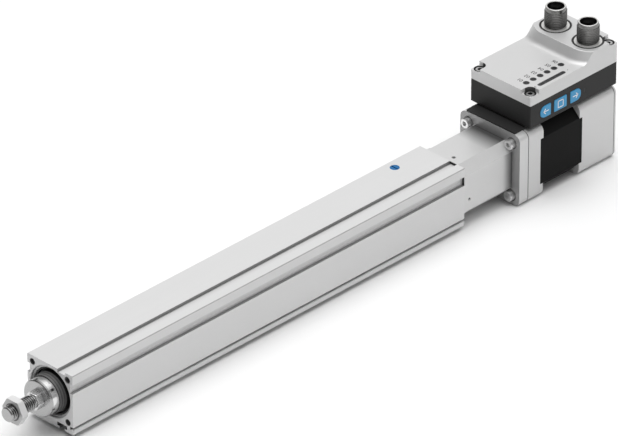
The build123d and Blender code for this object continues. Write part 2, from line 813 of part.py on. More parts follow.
with BuildPart() as stator_pack:
    with BuildSketch(Plane.YZ.offset(front_cover_end)):
        Rectangle(2 * stack_half_width, 2 * stack_half_width)
        chamfer(vertices(), stack_chamfer)
        Circle(yoke_inner_radius, mode=Mode.SUBTRACT)
    extrude(amount=stack_end - front_cover_end)
    with BuildSketch(Plane.YZ.offset(front_cover_end)) as pole_section:
        with PolarLocations(0, pole_count):
            with Locations(((stator_bore_radius + yoke_inner_radius) / 2, 0)):
                Rectangle(yoke_inner_radius - stator_bore_radius + 2 * pole_root, pole_width)
            with Locations((stator_bore_radius + pole_shoe_depth / 2, 0)):
                Rectangle(pole_shoe_depth, pole_shoe_width)
        Circle(stator_bore_radius, mode=Mode.SUBTRACT)
    extrude(pole_section.sketch, amount=stack_end - front_cover_end)
save(stator_pack, "stator_pack")

# One coil round each pole
coil_low = stator_bore_radius + pole_shoe_depth + free_gap
coil_high = coil_low + coil_depth
coil_half = pole_width / 2 + free_gap
with BuildPart() as motor_windings:
    with BuildSketch(Plane.YZ.offset(front_cover_end - coil_overhang)) as coil_outer:
        with PolarLocations(0, pole_count):
            with Locations(((coil_low + coil_high) / 2, 0)):
                Rectangle(coil_high - coil_low, 2 * (coil_half + coil_thickness))
    extrude(coil_outer.sketch, amount=stack_end - front_cover_end + 2 * coil_overhang)
    with BuildSketch(Plane.YZ.offset(front_cover_end - free_gap)) as coil_inner:
        with PolarLocations(0, pole_count):
            with Locations(((coil_low + coil_high) / 2, 0)):
                Rectangle(coil_high - coil_low, 2 * coil_half)
    extrude(coil_inner.sketch, amount=stack_end - front_cover_end + 2 * free_gap, mode=Mode.SUBTRACT)
save(motor_windings, "motor_windings")

rear_wall = motor_end - cover_wall
with BuildPart() as motor_rear_cover:
    motor_square(stack_end, motor_end)
    chamfer(motor_rear_cover.faces().sort_by(Axis.X)[-1].edges(), plate_edge_chamfer)
    seam_x = motor_end - rear_seam_offset
    seam_half = flange_half_width - rear_seam_size
    with BuildSketch(Plane.YZ.offset(seam_x - rear_seam_size)) as seam_ring:
        RectangleRounded(2 * flange_half_width, 2 * flange_half_width, flange_corner_radius)
        RectangleRounded(2 * seam_half, 2 * seam_half, flange_corner_radius - rear_seam_size,
                         mode=Mode.SUBTRACT)
    extrude(seam_ring.sketch, amount=rear_seam_size, mode=Mode.SUBTRACT)
    corner_lobes(stack_end - corner_lobe_length, stack_end)
    turned(stack_end, rear_bearing_start, cover_bore_radius, mode=Mode.SUBTRACT)
    rear_bearing_end = rear_bearing_start + motor_bearing_width
    turned(rear_bearing_start, rear_bearing_end, motor_bearing_radius, mode=Mode.SUBTRACT)
    turned(rear_bearing_end, rear_wall, encoder_board_radius + fit_gap, mode=Mode.SUBTRACT)
    upright(cable_hole_x, 0, encoder_board_radius - cable_hole_radius, flange_half_width, cable_hole_radius,
            mode=Mode.SUBTRACT)
    along_x(tie_points, motor_end - tie_head_height, motor_end, tie_head_radius + head_clearance,
            mode=Mode.SUBTRACT)
    along_x(tie_points, motor_end - tie_screw_length, motor_end, tie_screw_radius + fit_gap,
            mode=Mode.SUBTRACT)
save(motor_rear_cover, "motor_rear_cover")

with BuildPart() as tie_screws:
    along_x(tie_points, motor_end - tie_head_height, motor_end - window_sink, tie_head_radius)
    along_x(tie_points, motor_end - tie_screw_length, motor_end - tie_head_height, tie_screw_radius)
    for y, z in tie_points:
        block((motor_end - tie_slot_depth, motor_end), (y - tie_slot_length / 2, y + tie_slot_length / 2),
              (z - tie_slot_width / 2, z + tie_slot_width / 2), mode=Mode.SUBTRACT)
save(tie_screws, "tie_screws")

# Motor shaft, bearings, rotor, encoder magnet and encoder board
shaft_start = far_hub_face + shaft_setback
with BuildPart() as motor_shaft:
    turned(shaft_start, shaft_end, shaft_radius)
save(motor_shaft, "motor_shaft")

with BuildPart() as motor_rotor:
    turned(front_cover_end + rotor_margin, stack_end - rotor_margin, rotor_radius, shaft_radius + fit_gap)
save(motor_rotor, "motor_rotor")

motor_bearings = {"motor_front_bearing": front_bearing_start, "motor_rear_bearing": rear_bearing_start}
for bearing_name, bearing_x in motor_bearings.items():
    with BuildPart() as motor_bearing:
        turned(bearing_x, bearing_x + motor_bearing_width, motor_bearing_radius - fit_gap,
               shaft_radius + motor_bearing_gap)
    save(motor_bearing, bearing_name)

with BuildPart() as encoder_magnet:
    turned(shaft_end, shaft_end + magnet_disc_length, magnet_disc_radius)
save(encoder_magnet, "encoder_magnet")

board_x = shaft_end + magnet_disc_length + encoder_board_gap
with BuildPart() as encoder_board:
    turned(board_x, board_x + encoder_board_thickness, encoder_board_radius)
    chip_half = encoder_chip_size / 2
    block((board_x - encoder_chip_thickness, board_x), (-chip_half, chip_half), (-chip_half, chip_half))
save(encoder_board, "encoder_board")

# Foot strip under the drive box
foot_low = flange_half_width
with BuildPart() as box_foot:
    block((foot_front, motor_end), (-foot_half_width, foot_half_width), (foot_low, box_low))
    upright(cable_hole_x, 0, foot_low, box_low, cable_hole_radius, mode=Mode.SUBTRACT)
save(box_foot, "box_foot")

# Black lower shell of the drive box
side = flange_half_width
inner_front = box_front + box_wall
inner_rear = motor_end - box_wall
inner_side = side - box_wall
box_floor = box_low + box_wall
screw_points = [(x, y) for x in (box_front + cover_screw_inset, motor_end - cover_screw_inset)
                for y in (-(side - cover_screw_inset), side - cover_screw_inset)]
strip_middle = box_wall / 2
strip_half = seal_strip_width / 2


def key_outline(name, grow, key_plane):
    """Outline of one key: the outer keys are rounded at their outer end."""
    x_low, x_high = key_spans[name]
    height = key_high - key_low
    middle = (key_low + key_high) / 2
    round_radius = height / 2 - key_round_margin
    with BuildSketch(key_plane) as outline:
        with Locations(((x_low + x_high) / 2, middle)):
            Rectangle(x_high - x_low + 2 * grow, height + 2 * grow)
        left = outline.vertices().group_by(Axis.X)[0]
        fillet(left, round_radius + grow if name == "key_back" else key_corner_radius)
        right = outline.vertices().group_by(Axis.X)[-1]
        fillet(right, round_radius + grow if name == "key_forward" else key_corner_radius)
    return outline.sketch


def hollow(x_span, z_span, kept):
    """Cuts the box's inside between two heights, but keeps round posts given as (x, y, radius)."""
    with BuildSketch(Plane.XY.offset(z_span[0])) as inside:
        with Locations(((x_span[0] + x_span[1]) / 2, 0)):
            Rectangle(x_span[1] - x_span[0], 2 * inner_side)
        for post_x, post_y, post_radius in kept:
            with Locations((post_x, post_y)):
                Circle(post_radius, mode=Mode.SUBTRACT)
    extrude(inside.sketch, amount=z_span[1] - z_span[0], mode=Mode.SUBTRACT)


def seal_strip(z_low, gap, mode=Mode.ADD):
    """The seal's rectangular ring, narrowed by a gap on each side."""
    with BuildSketch(Plane.XY.offset(z_low)) as strip:
        with Locations(((box_front + motor_end) / 2, 0)):
            outer_gap = strip_middle - strip_half + gap
            inner_gap = strip_middle + strip_half - gap
            Rectangle(motor_end - box_front - 2 * outer_gap, 2 * (side - outer_gap))
            Rectangle(motor_end - box_front - 2 * inner_gap, 2 * (side - inner_gap), mode=Mode.SUBTRACT)
    extrude(strip.sketch, amount=seal_strip_height, mode=mode)


seal_low = parting_height - seal_strip_height
with BuildPart() as drive_base:
    block((box_front, motor_end), (-side, side), (box_low, parting_height))
    chamfer(drive_base.faces().sort_by(Axis.Z)[0].edges(), box_edge_chamfer)
    fillet(drive_base.edges().filter_by(Axis.Z), box_corner_radius)
    screw_posts = [(post_x, post_y, screw_post_radius) for post_x, post_y in screw_points]
    board_posts = [(post_x, post_y, board_post_radius) for post_y in (-board_post_y, board_post_y)
                   for post_x in (inner_front + board_post_inset, inner_rear - board_post_inset)]
    hollow((inner_front, inner_rear), (box_floor, board_level), screw_posts + board_posts)
    hollow((inner_front, inner_rear), (board_level, parting_height), screw_posts)
    seal_strip(seal_low, 0, mode=Mode.SUBTRACT)
    for post_x, post_y in screw_points:
        upright(post_x, post_y, box_floor, parting_height, cover_screw_radius + fit_gap, mode=Mode.SUBTRACT)
    upright(cable_hole_x, 0, box_low, box_floor, cable_hole_radius, mode=Mode.SUBTRACT)
    for key_name in key_spans:
        extrude(key_outline(key_name, key_gap, Plane.XZ.offset(side)), amount=-box_wall, mode=Mode.SUBTRACT)
    block((status_x - status_width / 2, status_x + status_width / 2), (-side, -inner_side),
          (status_z - status_height / 2, status_z + status_height / 2), mode=Mode.SUBTRACT)
save(drive_base, "drive_base")

# Flat seal in the groove along the parting line
with BuildPart() as cover_seal:
    seal_strip(seal_low, fit_gap)
save(cover_seal, "cover_seal")

# Cast cover: flat plate that rises in a swept toe to the connector hump
lean = hump_top - cover_top
ridge_back = lean * sin(radians(hump_lean)) / cos(radians(hump_lean))
hump_start = hump_ridge_x - ridge_back
hump_corner = hump_ridge_corner + ridge_back
hump_half = hump_corner_y + hump_corner
spare = casting_spare
hump_back = motor_end + spare / 2
screw_tops = {x: (cover_top if x < hump_ridge_x else hump_top) for x, y in screw_points}
lamp_points = [(lamp_start + lamp_pitch * i, lamp_y) for i in range(lamp_count)]
level_middle = (level_start + level_end) / 2
connector_points = [(connector_x, connector_y), (connector_x, -connector_y)]
ring_outer = connector_flange_radius + connector_ring_width
flange_low = hump_top - connector_flange_depth
connector_foot_level = flange_low - connector_pad_depth
cavity_top = cover_top - cover_wall_thickness

with BuildPart() as drive_cover:
    with BuildSketch(Plane.XY.offset(parting_height)):
        with Locations(((box_front + motor_end) / 2, 0)):
            Rectangle(motor_end - box_front + 2 * spare, 2 * (side + spare))
    extrude(amount=cover_top - parting_height)
    with BuildSketch(Plane.XY.offset(cover_top)) as hump_base:
        with Locations(((hump_start + hump_back) / 2, 0)):
            Rectangle(hump_back - hump_start, 2 * hump_half)
        fillet(hump_base.vertices().group_by(Axis.X)[0], hump_corner)
    extrude(amount=lean, taper=hump_lean)
    fillet(drive_cover.faces().sort_by(Axis.Z)[-1].edges(), hump_ridge_radius)
    toe_edges = [edge for edge in drive_cover.edges() if abs(edge.center().Z - cover_top) < height_match
                 and hump_start - edge_margin < edge.center().X < hump_back - edge_margin
                 and abs(edge.center().Y) < hump_half - edge_margin]
    fillet(toe_edges, hump_toe_radius)
    block((box_front, motor_end), (-side, side), (parting_height, hump_top), box_corner_radius,
          mode=Mode.INTERSECT)
    bosses = [(post_x, post_y, screw_boss_radius) for post_x, post_y in screw_points]
    pads = [(pad_x, pad_y, ring_outer + connector_pad_wall) for pad_x, pad_y in connector_points]
    hollow((inner_front, inner_rear), (parting_height, cavity_top), bosses)
    hump_span = (hump_ridge_x + hump_front_wall, inner_rear)
    hollow(hump_span, (cavity_top, connector_foot_level), bosses)
    hollow(hump_span, (connector_foot_level, hump_top - cover_wall_thickness), bosses + pads)
    for post_x, post_y in screw_points:
        pocket_floor = screw_tops[post_x] - pocket_depth
        notch_floor = screw_tops[post_x] - notch_depth
        upright(post_x, post_y, pocket_floor, hump_top, pocket_radius, mode=Mode.SUBTRACT)
        x_way = -1 if post_x < hump_ridge_x else 1
        y_way = -1 if post_y < 0 else 1
        x_out = post_x + x_way * spare
        y_out = post_y + y_way * spare
        x_in = post_x - x_way * pocket_radius
        y_in = post_y - y_way * pocket_radius
        block(sorted((x_out, post_x)), sorted((y_out, y_in)), (notch_floor, hump_top), mode=Mode.SUBTRACT)
        block(sorted((x_out, x_in)), sorted((y_out, post_y)), (notch_floor, hump_top), mode=Mode.SUBTRACT)
        upright(post_x, post_y, parting_height, pocket_floor, cover_screw_radius + head_clearance,
                mode=Mode.SUBTRACT)
    for lamp_x, lamp_side in lamp_points:
        upright(lamp_x, lamp_side, cavity_top, cover_top, lamp_radius, mode=Mode.SUBTRACT)
    with BuildSketch(Plane.XY.offset(cavity_top)) as level_slot:
        with Locations((level_middle, level_y)):
            SlotOverall(level_end - level_start, level_width)
    extrude(level_slot.sketch, amount=cover_wall_thickness, mode=Mode.SUBTRACT)
    for seat_x, seat_y in connector_points:
        upright(seat_x, seat_y, connector_foot_level, hump_top, connector_foot_radius + head_clearance,
                mode=Mode.SUBTRACT)
        upright(seat_x, seat_y, flange_low, hump_top, ring_outer, mode=Mode.SUBTRACT)
save(drive_cover, "drive_cover")

# Screws that hold the cover, longer at the hump
with BuildPart() as cover_screws:
    for post_x, post_y in screw_points:
        head_low = screw_tops[post_x] - pocket_depth
        head_high = head_low + screw_head_height
        upright(post_x, post_y, head_low, head_high, screw_head_radius)
        upright(post_x, post_y, box_floor + screw_tip_gap, head_low, cover_screw_radius)
        with BuildSketch(Plane.XY.offset(head_high - screw_socket_depth)) as socket:
            with Locations((post_x, post_y)):
                RegularPolygon(screw_socket_radius, 6)
        extrude(socket.sketch, amount=screw_socket_depth, mode=Mode.SUBTRACT)
save(cover_screws, "cover_screws")

# Windows in the cover: six round lamps and the long level bar
window_top = cover_top - window_sink
with BuildPart() as lamp_windows:
    for lamp_x, lamp_side in lamp_points:
        upright(lamp_x, lamp_side, cavity_top, window_top, lamp_radius - fit_gap)
save(lamp_windows, "lamp_windows")

with BuildPart() as level_window:
    with BuildSketch(Plane.XY.offset(cavity_top)):
        with Locations((level_middle, level_y)):
            SlotOverall(level_end - level_start - 2 * fit_gap, level_width - 2 * fit_gap)
    extrude(amount=window_top - cavity_top)
save(level_window, "level_window")

with BuildPart() as status_window:
    block((status_x - status_width / 2 + fit_gap, status_x + status_width / 2 - fit_gap),
          (-side + window_sink, -inner_side),
          (status_z - status_height / 2 + fit_gap, status_z + status_height / 2 - fit_gap))
save(status_window, "status_window")

# Circuit board on the screw posts, with its parts and the switches behind the keys
board_top = board_level + board_thickness
board_x_span = (inner_front + board_margin, inner_rear - board_margin)
board_half = inner_side - board_margin
with BuildPart() as circuit_board:
    block(board_x_span, (-board_half, board_half), (board_level, board_top))
    for post_x, post_y in screw_points:
        upright(post_x, post_y, board_level, board_top, screw_post_radius + free_gap, mode=Mode.SUBTRACT)
    switch_front = -side + box_wall + key_flange + key_travel + switch_gap
    switch_rear = switch_front + switch_depth + switch_board_thickness
    block((key_spans["key_back"][0] - board_cut_margin, key_spans["key_forward"][1] + board_cut_margin),
          (-side, switch_rear + free_gap), (board_level, board_top), mode=Mode.SUBTRACT)
save(circuit_board, "circuit_board")

with BuildPart() as board_parts:
    for capacitor_x in capacitor_places:
        upright(capacitor_x, capacitor_y, board_top, board_top + capacitor_height, capacitor_radius)
    for chip_x in chip_places:
        block((chip_x - chip_size / 2, chip_x + chip_size / 2), (-chip_size, 0),
              (board_top, board_top + chip_height))
    for lamp_x, lamp_side in lamp_points:
        block((lamp_x - lamp_chip_size / 2, lamp_x + lamp_chip_size / 2),
              (lamp_side - lamp_chip_size / 2, lamp_side + lamp_chip_size / 2),
              (board_top, board_top + chip_height))
save(board_parts, "board_parts")

key_middle = (key_low + key_high) / 2
switch_half = switch_size / 2
with BuildPart() as key_switches:
    block((key_spans["key_back"][0], key_spans["key_forward"][1]), (switch_front + switch_depth, switch_rear),
          (box_floor, switch_board_top))
    for key_name, key_span in key_spans.items():
        switch_x = (key_span[0] + key_span[1]) / 2
        block((switch_x - switch_half, switch_x + switch_half), (switch_front, switch_front + switch_depth),
              (key_middle - switch_half, key_middle + switch_half))
save(key_switches, "key_switches")

# Three keys, each with a rim behind the wall that keeps it in
for key_name in key_spans:
    with BuildPart() as key:
        key_face = key_outline(key_name, 0, Plane.XZ.offset(side + key_proud))
        extrude(key_face, amount=-(key_proud + box_wall + key_gap))
        chamfer(key.faces().sort_by(Axis.Y)[0].edges(), key_edge_chamfer)
        rim_plane = Plane.XZ.offset(side - box_wall - key_gap / 2)
        extrude(key_outline(key_name, key_flange_rim, rim_plane), amount=-key_flange + key_gap / 2)
    save(key, key_name)

# Round M12 connectors with their inserts, pins and base rings
socket_floor = connector_top - socket_depth
for connector_name, connector_point in zip(("power_connector", "logic_connector"), connector_points):
    with BuildPart() as connector:
        upright(*connector_point, flange_low, hump_top, connector_flange_radius)
        upright(*connector_point, connector_foot_level, flange_low, connector_foot_radius)
        upright(*connector_point, hump_top, hump_top + thread_relief_height, thread_relief_radius)
        upright(*connector_point, hump_top + thread_relief_height, connector_top - lead_height,
                connector_radius)
        upright(*connector_point, connector_top - lead_height, connector_top, lead_radius)
        chamfer(connector.faces().sort_by(Axis.Z)[-1].edges(), connector_chamfer)
        upright(*connector_point, connector_foot_level, connector_top, connector_bore_radius,
                mode=Mode.SUBTRACT)
    save(connector, connector_name)

with BuildPart() as connector_inserts:
    for insert_x, insert_y in connector_points:
        upright(insert_x, insert_y, connector_foot_level, socket_floor, connector_bore_radius - fit_gap)
save(connector_inserts, "connector_inserts")

with BuildPart() as connector_pins:
    for insert_x, insert_y in connector_points:
        with BuildSketch(Plane.XY.offset(socket_floor)) as pins:
            with Locations((insert_x, insert_y)):
                with PolarLocations(pin_circle_radius, pin_count, start_angle=pin_start_angle):
                    Circle(pin_radius)
        extrude(pins.sketch, amount=socket_depth - pin_sink)
save(connector_pins, "connector_pins")

with BuildPart() as connector_rings:
    for ring_x, ring_y in connector_points:
        with BuildSketch(Plane.XY.offset(flange_low)) as ring:
            with Locations((ring_x, ring_y)):
                Circle(ring_outer - fit_gap)
                Circle(connector_flange_radius + fit_gap, mode=Mode.SUBTRACT)
        extrude(ring.sketch, amount=connector_flange_depth - window_sink / 2)
save(connector_rings, "connector_rings")
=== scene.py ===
import json
import math

import bpy
from mathutils import Matrix, Vector


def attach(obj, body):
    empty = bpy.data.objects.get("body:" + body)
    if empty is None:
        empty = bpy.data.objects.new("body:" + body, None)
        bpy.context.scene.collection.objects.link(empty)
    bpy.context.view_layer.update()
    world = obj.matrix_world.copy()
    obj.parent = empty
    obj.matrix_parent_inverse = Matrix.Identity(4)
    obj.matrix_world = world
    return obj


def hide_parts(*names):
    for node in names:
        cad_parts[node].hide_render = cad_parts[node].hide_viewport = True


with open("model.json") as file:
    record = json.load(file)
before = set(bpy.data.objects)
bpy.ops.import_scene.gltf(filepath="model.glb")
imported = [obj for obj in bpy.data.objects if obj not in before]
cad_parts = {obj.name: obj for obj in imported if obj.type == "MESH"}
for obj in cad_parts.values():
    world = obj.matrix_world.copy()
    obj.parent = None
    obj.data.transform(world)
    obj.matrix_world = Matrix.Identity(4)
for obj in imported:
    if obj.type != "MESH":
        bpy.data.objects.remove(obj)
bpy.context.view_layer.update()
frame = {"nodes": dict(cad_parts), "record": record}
nodes = frame["nodes"]
mm = 0.001  # lengths in the dictionaries are in millimetres, unless a name or note says metres
weld = {"doubles": 0.002, "turns": 0.001, "trim": 0.0001, "smoothAngle": 28}
print("frame loaded with", len(nodes), "pieces")


def clearPick():
    if bpy.context.object and bpy.context.object.mode != "OBJECT":
        bpy.ops.object.mode_set(mode="OBJECT")
    bpy.ops.object.select_all(action="DESELECT")


def pickOnly(piece):
    clearPick()
    piece.select_set(True)
    bpy.context.view_layer.objects.active = piece


def editAll(piece):  # edit mode with the whole mesh selected
    pickOnly(piece)
    bpy.ops.object.mode_set(mode="EDIT")
    bpy.ops.mesh.select_all(action="SELECT")


def settle(piece):  # puts the place, turn and size into the mesh
    pickOnly(piece)
    bpy.ops.object.transform_apply(location=True, rotation=True, scale=True)


def applyAll(piece):
    pickOnly(piece)
    for modifier in list(piece.modifiers):
        bpy.ops.object.modifier_apply(modifier=modifier.name)


def outward(piece):  # merges doubles, then turns every face outwards
    editAll(piece)
    bpy.ops.mesh.remove_doubles(threshold=weld["doubles"] * mm)
    bpy.ops.mesh.normals_make_consistent(inside=False)
    bpy.ops.object.mode_set(mode="OBJECT")


def smoothOutward(piece):
    outward(piece)
    pickOnly(piece)
    bpy.ops.object.shade_smooth_by_angle(angle=math.radians(weld["smoothAngle"]))


def joinAll(pieces, name):
    clearPick()
    for piece in pieces:
        piece.select_set(True)
    bpy.context.view_layer.objects.active = pieces[0]
    bpy.ops.object.join()
    joined = bpy.context.object
    joined.name = name
    joined.data.name = name
    return joined


class Wire:  # a shader socket that takes plain arithmetic
    def __init__(self, paint, socket):
        self.paint = paint
        self.socket = socket

    def pair(self, other, kind, swapped=False):
        first, second = (other, self) if swapped else (self, other)
        return self.paint.node("ShaderNodeMath", {"operation": kind}, {0: first, 1: second})

    def alone(self, kind):
        return self.paint.node("ShaderNodeMath", {"operation": kind}, {0: self})

    def __add__(self, other):
        return self.pair(other, "ADD")

    def __radd__(self, other):
        return self.pair(other, "ADD", True)

    def __sub__(self, other):
        return self.pair(other, "SUBTRACT")

    def __rsub__(self, other):
        return self.pair(other, "SUBTRACT", True)

    def __mul__(self, other):
        return self.pair(other, "MULTIPLY")

    def __rmul__(self, other):
        return self.pair(other, "MULTIPLY", True)

    def __truediv__(self, other):
        return self.pair(other, "DIVIDE")

    def __pow__(self, other):
        return self.pair(other, "POWER")

    def __gt__(self, other):
        return self.pair(other, "GREATER_THAN")

    def __lt__(self, other):
        return self.pair(other, "LESS_THAN")

    def above(self, other):
        return self.pair(other, "MAXIMUM")

    def below(self, other):
        return self.pair(other, "MINIMUM")

    def unit(self):  # held between 0 and 1
        return self.above(0.0).below(1.0)

    def sine(self):
        return self.alone("SINE")

    def wave(self):  # a sine from 0 to 1
        return self.sine() * 0.5 + 0.5

    def root(self):
        return self.alone("SQRT")

    def size(self):
        return self.alone("ABSOLUTE")

    def rounded(self):
        return self.alone("ROUND")

    def swing(self, amount):  # a noise about its middle
        return (self - 0.5) * amount

    def blend(self, other, share):
        return self * share + other * (1.0 - share)

    # the lengths given to these are in millimetres
    def off(self, centre):
        return self - centre * mm

    def over(self, place):
        return self > place * mm

    def under(self, place):
        return self < place * mm

    def between(self, low, high):
        return self.over(low) * self.under(high)

    def near(self, centre, reach):
        return self.off(centre).size().under(reach)


def distance(first, second):  # from the offsets along two axes
    return (first * first + second * second).root()


def grey(value):
    return (value, value, value)


def asColour(colour):  # a link stays a link, three numbers get their alpha
    return colour if isinstance(colour, Wire) else (*colour, 1.0)


class Paint:  # one material and its nodes
    def __init__(self, name, tree=None):
        self.material = None
        if tree is None:
            self.material = bpy.data.materials.new(name)
            self.material.use_nodes = True
            tree = self.material.node_tree
        self.tree = tree
        tree.nodes.clear()

    def node(self, kind, settings=None, inputs=None, output=0):
        made = self.tree.nodes.new(kind)
        for key, value in (settings or {}).items():
            setattr(made, key, value)
        for key, value in (inputs or {}).items():
            socket = made.inputs[key]
            if isinstance(value, Wire):
                self.tree.links.new(value.socket, socket)
            else:
                socket.default_value = value
        return Wire(self, made.outputs[output]) if len(made.outputs) else None

    def place(self):
        return self.node("ShaderNodeTexCoord", output="Object")

    def parts(self, vector):
        outputs = self.node("ShaderNodeSeparateXYZ", None, {0: vector}).socket.node.outputs
        return [Wire(self, outputs[i]) for i in range(3)]

    def stretch(self, vector, scale):
        return self.node("ShaderNodeVectorMath", {"operation": "MULTIPLY"}, {0: vector, 1: scale})

    def noise(self, vector, scale, detail=3.0, rough=0.55):
        return self.node("ShaderNodeTexNoise", None,
                         {"Vector": vector, "Scale": scale, "Detail": detail, "Roughness": rough})

    def mix(self, factor, first, second):
        inputs = {0: factor, 6: asColour(first), 7: asColour(second)}
        return self.node("ShaderNodeMix", {"data_type": "RGBA"}, inputs, 2)

    def greys(self, factor, look):
        return self.mix(factor, grey(look["dark"]), grey(look["light"]))

    def bump(self, height, strength, depth):
        inputs = {"Height": height, "Strength": strength, "Distance": depth * mm}
        return self.node("ShaderNodeBump", None, inputs)

    def finish(self, colour, roughness, metallic=0.0, normal=None, specular=0.5, coat=0.0,
               coatRoughness=0.15):
        inputs = {"Base Color": asColour(colour), "Roughness": roughness, "Metallic": metallic,
                  "Coat Weight": coat, "Coat Roughness": coatRoughness, "Specular IOR Level": specular}
        if normal is not None:
            inputs["Normal"] = normal
        shader = self.node("ShaderNodeBsdfPrincipled", None, inputs)
        self.node("ShaderNodeOutputMaterial", None, {"Surface": shader})
        return self.material


skins = {}

# The extrusion: drawn lines along it, painted shade in its slots, grooves and holes, and a painted dark
# reflection line along its top edge
extrusionLook = {"light": 0.70, "dark": 0.66, "shadeAndJointGrey": 0.05, "darkest": 0.95, "metallic": 0.30,
                 "roughness": 0.42, "lineScale": 900.0, "alongScale": 6.0, "cloudScale": 38.0,
                 "grainScale": 5200.0, "lineShare": 0.6, "shadeShift": 0.25, "lineWear": 0.16,
                 "grainWear": 0.06, "bumpShare": 0.7, "bump": (0.08, 0.03), "skin": 15.97,
                 "slotEdge": -5.5, "wallReach": 0.15, "wallBottom": 14.2, "slotShade": 0.62,
                 "floorReach": -6.3, "floorLow": 14.0, "floorTop": 14.45, "floorShade": 0.45,
                 "edgeSide": -15.72, "edgeLow": 15.5, "edgeShade": 0.42,
                 "holes": 12.4, "holeRing": 1.85, "holeDepth": 14.6, "holeShade": 0.88,
                 "band": (14.3, 0.2), "bandLow": 7.5, "bandHigh": 10.6, "bandShade": 0.12,
                 "sill": (5.5, 0.12), "sillSide": 14.2, "sillShade": 0.60,
                 "grooveOutside": 15.9, "grooveLow": -15.85, "grooveHigh": -15.35, "grooveShade": 0.45,
                 "innerSide": 13.9, "grooveSide": 14.7, "grooveTop": -14.0, "grooveInner": 0.80,
                 "foot": (-8.1, 3.55), "footStart": 0.05, "footTop": -15.05, "footShade": 0.9}


def makeExtrusion():
    paint = Paint("anodisedExtrusion")
    look = extrusionLook
    place = paint.place()
    x, y, z = paint.parts(place)
    side = y.size()
    drawn = paint.stretch(place, (look["alongScale"], look["lineScale"], look["lineScale"]))
    lines = paint.noise(drawn, 1.0, detail=4.0, rough=0.6)
    cloud = paint.noise(place, look["cloudScale"])
    grain = paint.noise(place, look["grainScale"], detail=2.0)
    shade = (lines.blend(cloud, look["lineShare"]) - look["shadeShift"]).unit()
    # painted shade: the top slot's far wall and the strip of floor beside it
    wall = y.near(look["slotEdge"], look["wallReach"]) * z.between(look["wallBottom"], look["skin"])
    slotFloor = (y.between(look["floorReach"], look["slotEdge"])
                 * z.between(look["floorLow"], look["floorTop"]))
    # painted reflection: a dark line along the top edge on the -Y side
    edge = y.under(look["edgeSide"]) * z.over(look["edgeLow"])
    # painted shade: rings in and round the corner holes
    fromHole = distance(side.off(look["holes"]), z.size().off(look["holes"]))
    hole = fromHole.under(look["holeRing"]) * x.under(look["holeDepth"])
    # painted shade: under the side slots' upper lips, on their lower walls, on and under the bottom groove,
    # and in the foot's T-slot
    band = side.near(*look["band"]) * z.between(look["bandLow"], look["bandHigh"])
    sill = z.near(*look["sill"]) * side.between(look["sillSide"], look["skin"])
    groove = z.between(look["grooveLow"], look["grooveHigh"]) * side.over(look["grooveOutside"])
    inner = (z.between(look["grooveLow"], look["grooveTop"])
             * side.between(look["innerSide"], look["grooveSide"]))
    foot = z.under(look["footTop"]) * y.near(*look["foot"]) * x.over(look["footStart"])
    # all the painted shade and the painted reflection line, summed into one darkening
    dark = (wall * look["slotShade"] + edge * look["edgeShade"] + hole * look["holeShade"]
            + band * look["bandShade"] + groove * look["grooveShade"] + foot * look["footShade"]
            + sill * look["sillShade"] + slotFloor * look["floorShade"] + inner * look["grooveInner"])
    colour = paint.mix(dark.below(look["darkest"]), paint.greys(shade, look), grey(look["shadeAndJointGrey"]))
    roughness = look["roughness"] + lines.swing(look["lineWear"]) + grain.swing(look["grainWear"])
    normal = paint.bump(lines.blend(grain, look["bumpShare"]), *look["bump"])
    return paint.finish(colour, roughness, look["metallic"], normal)


# The milled parts: neck, flange and motor covers, with their dark joints, a painted dark reflection on the
# neck in front of the flange, and painted shade on the flange's front face and round its bolts
machinedLook = {"light": 0.655, "dark": 0.64, "shadeAndJointGrey": 0.03, "darkest": 0.9, "metallic": 0.38,
                "roughness": 0.34, "markScale": 1500.0, "acrossScale": 60.0, "grainScale": 3000.0,
                "markWear": 0.012, "grainWear": 0.03, "bump": (0.02, 0.002),
                "plateFace": 316.15, "plateReach": 0.05, "plateShade": 0.44,
                "boltSide": 15.5, "boltRing": 3.35, "boltShade": 0.85,
                "seams": ((322.7, 0.28), (387.55, 0.2)), "seamShade": 0.80,
                "fadeStart": 301.5, "fadeLength": 12.0, "fadePower": 1.15, "fadeShade": 0.90,
                "sideStart": 309.0, "sideLength": 7.0, "sidePower": 1.4, "topHeight": 15.6,
                "chamferSum": 26.3}


def seamMask(x):  # the thin dark joints between the motor's parts
    first, second = machinedLook["seams"]
    return x.near(*first) + x.near(*second)


def makeMachined():
    paint = Paint("milledAluminium")
    look = machinedLook
    place = paint.place()
    x, y, z = paint.parts(place)
    cutter = paint.stretch(place, (look["markScale"], look["acrossScale"], look["acrossScale"]))
    marks = paint.noise(cutter, 1.0, detail=2.0)
    grain = paint.noise(place, look["grainScale"], detail=2.0)
    # painted reflection: the neck darkens towards the flange, further along its top than along its sides
    onTop = z.over(look["topHeight"])
    topFade = (x.off(look["fadeStart"]) / (look["fadeLength"] * mm)).above(0.0) ** look["fadePower"]
    sideFade = (x.off(look["sideStart"]) / (look["sideLength"] * mm)).above(0.0) ** look["sidePower"]
    flats = (y.size() + z.size()).under(look["chamferSum"])
    inFront = x.under(look["plateFace"]) * flats
    fade = (topFade * onTop + sideFade * (1.0 - onTop)) * inFront * look["fadeShade"]
    # painted shade: the flange's front face is darker, and darker still round the bolt heads
    plate = x.near(look["plateFace"], look["plateReach"])
    fromBolt = distance(y.size().off(look["boltSide"]), z.size().off(look["boltSide"]))
    ring = fromBolt.under(look["boltRing"]) * look["boltShade"]
    # the real dark joints, plus the painted shade and the painted reflection
    jointsAndPaintedShade = seamMask(x) * look["seamShade"] + plate * ring.above(look["plateShade"]) + fade
    colour = paint.mix(jointsAndPaintedShade.below(look["darkest"]), paint.greys(marks, look), grey(look["shadeAndJointGrey"]))
    roughness = look["roughness"] + marks.swing(look["markWear"]) + grain.swing(look["grainWear"])
    return paint.finish(colour, roughness, look["metallic"], paint.bump(grain, *look["bump"]))
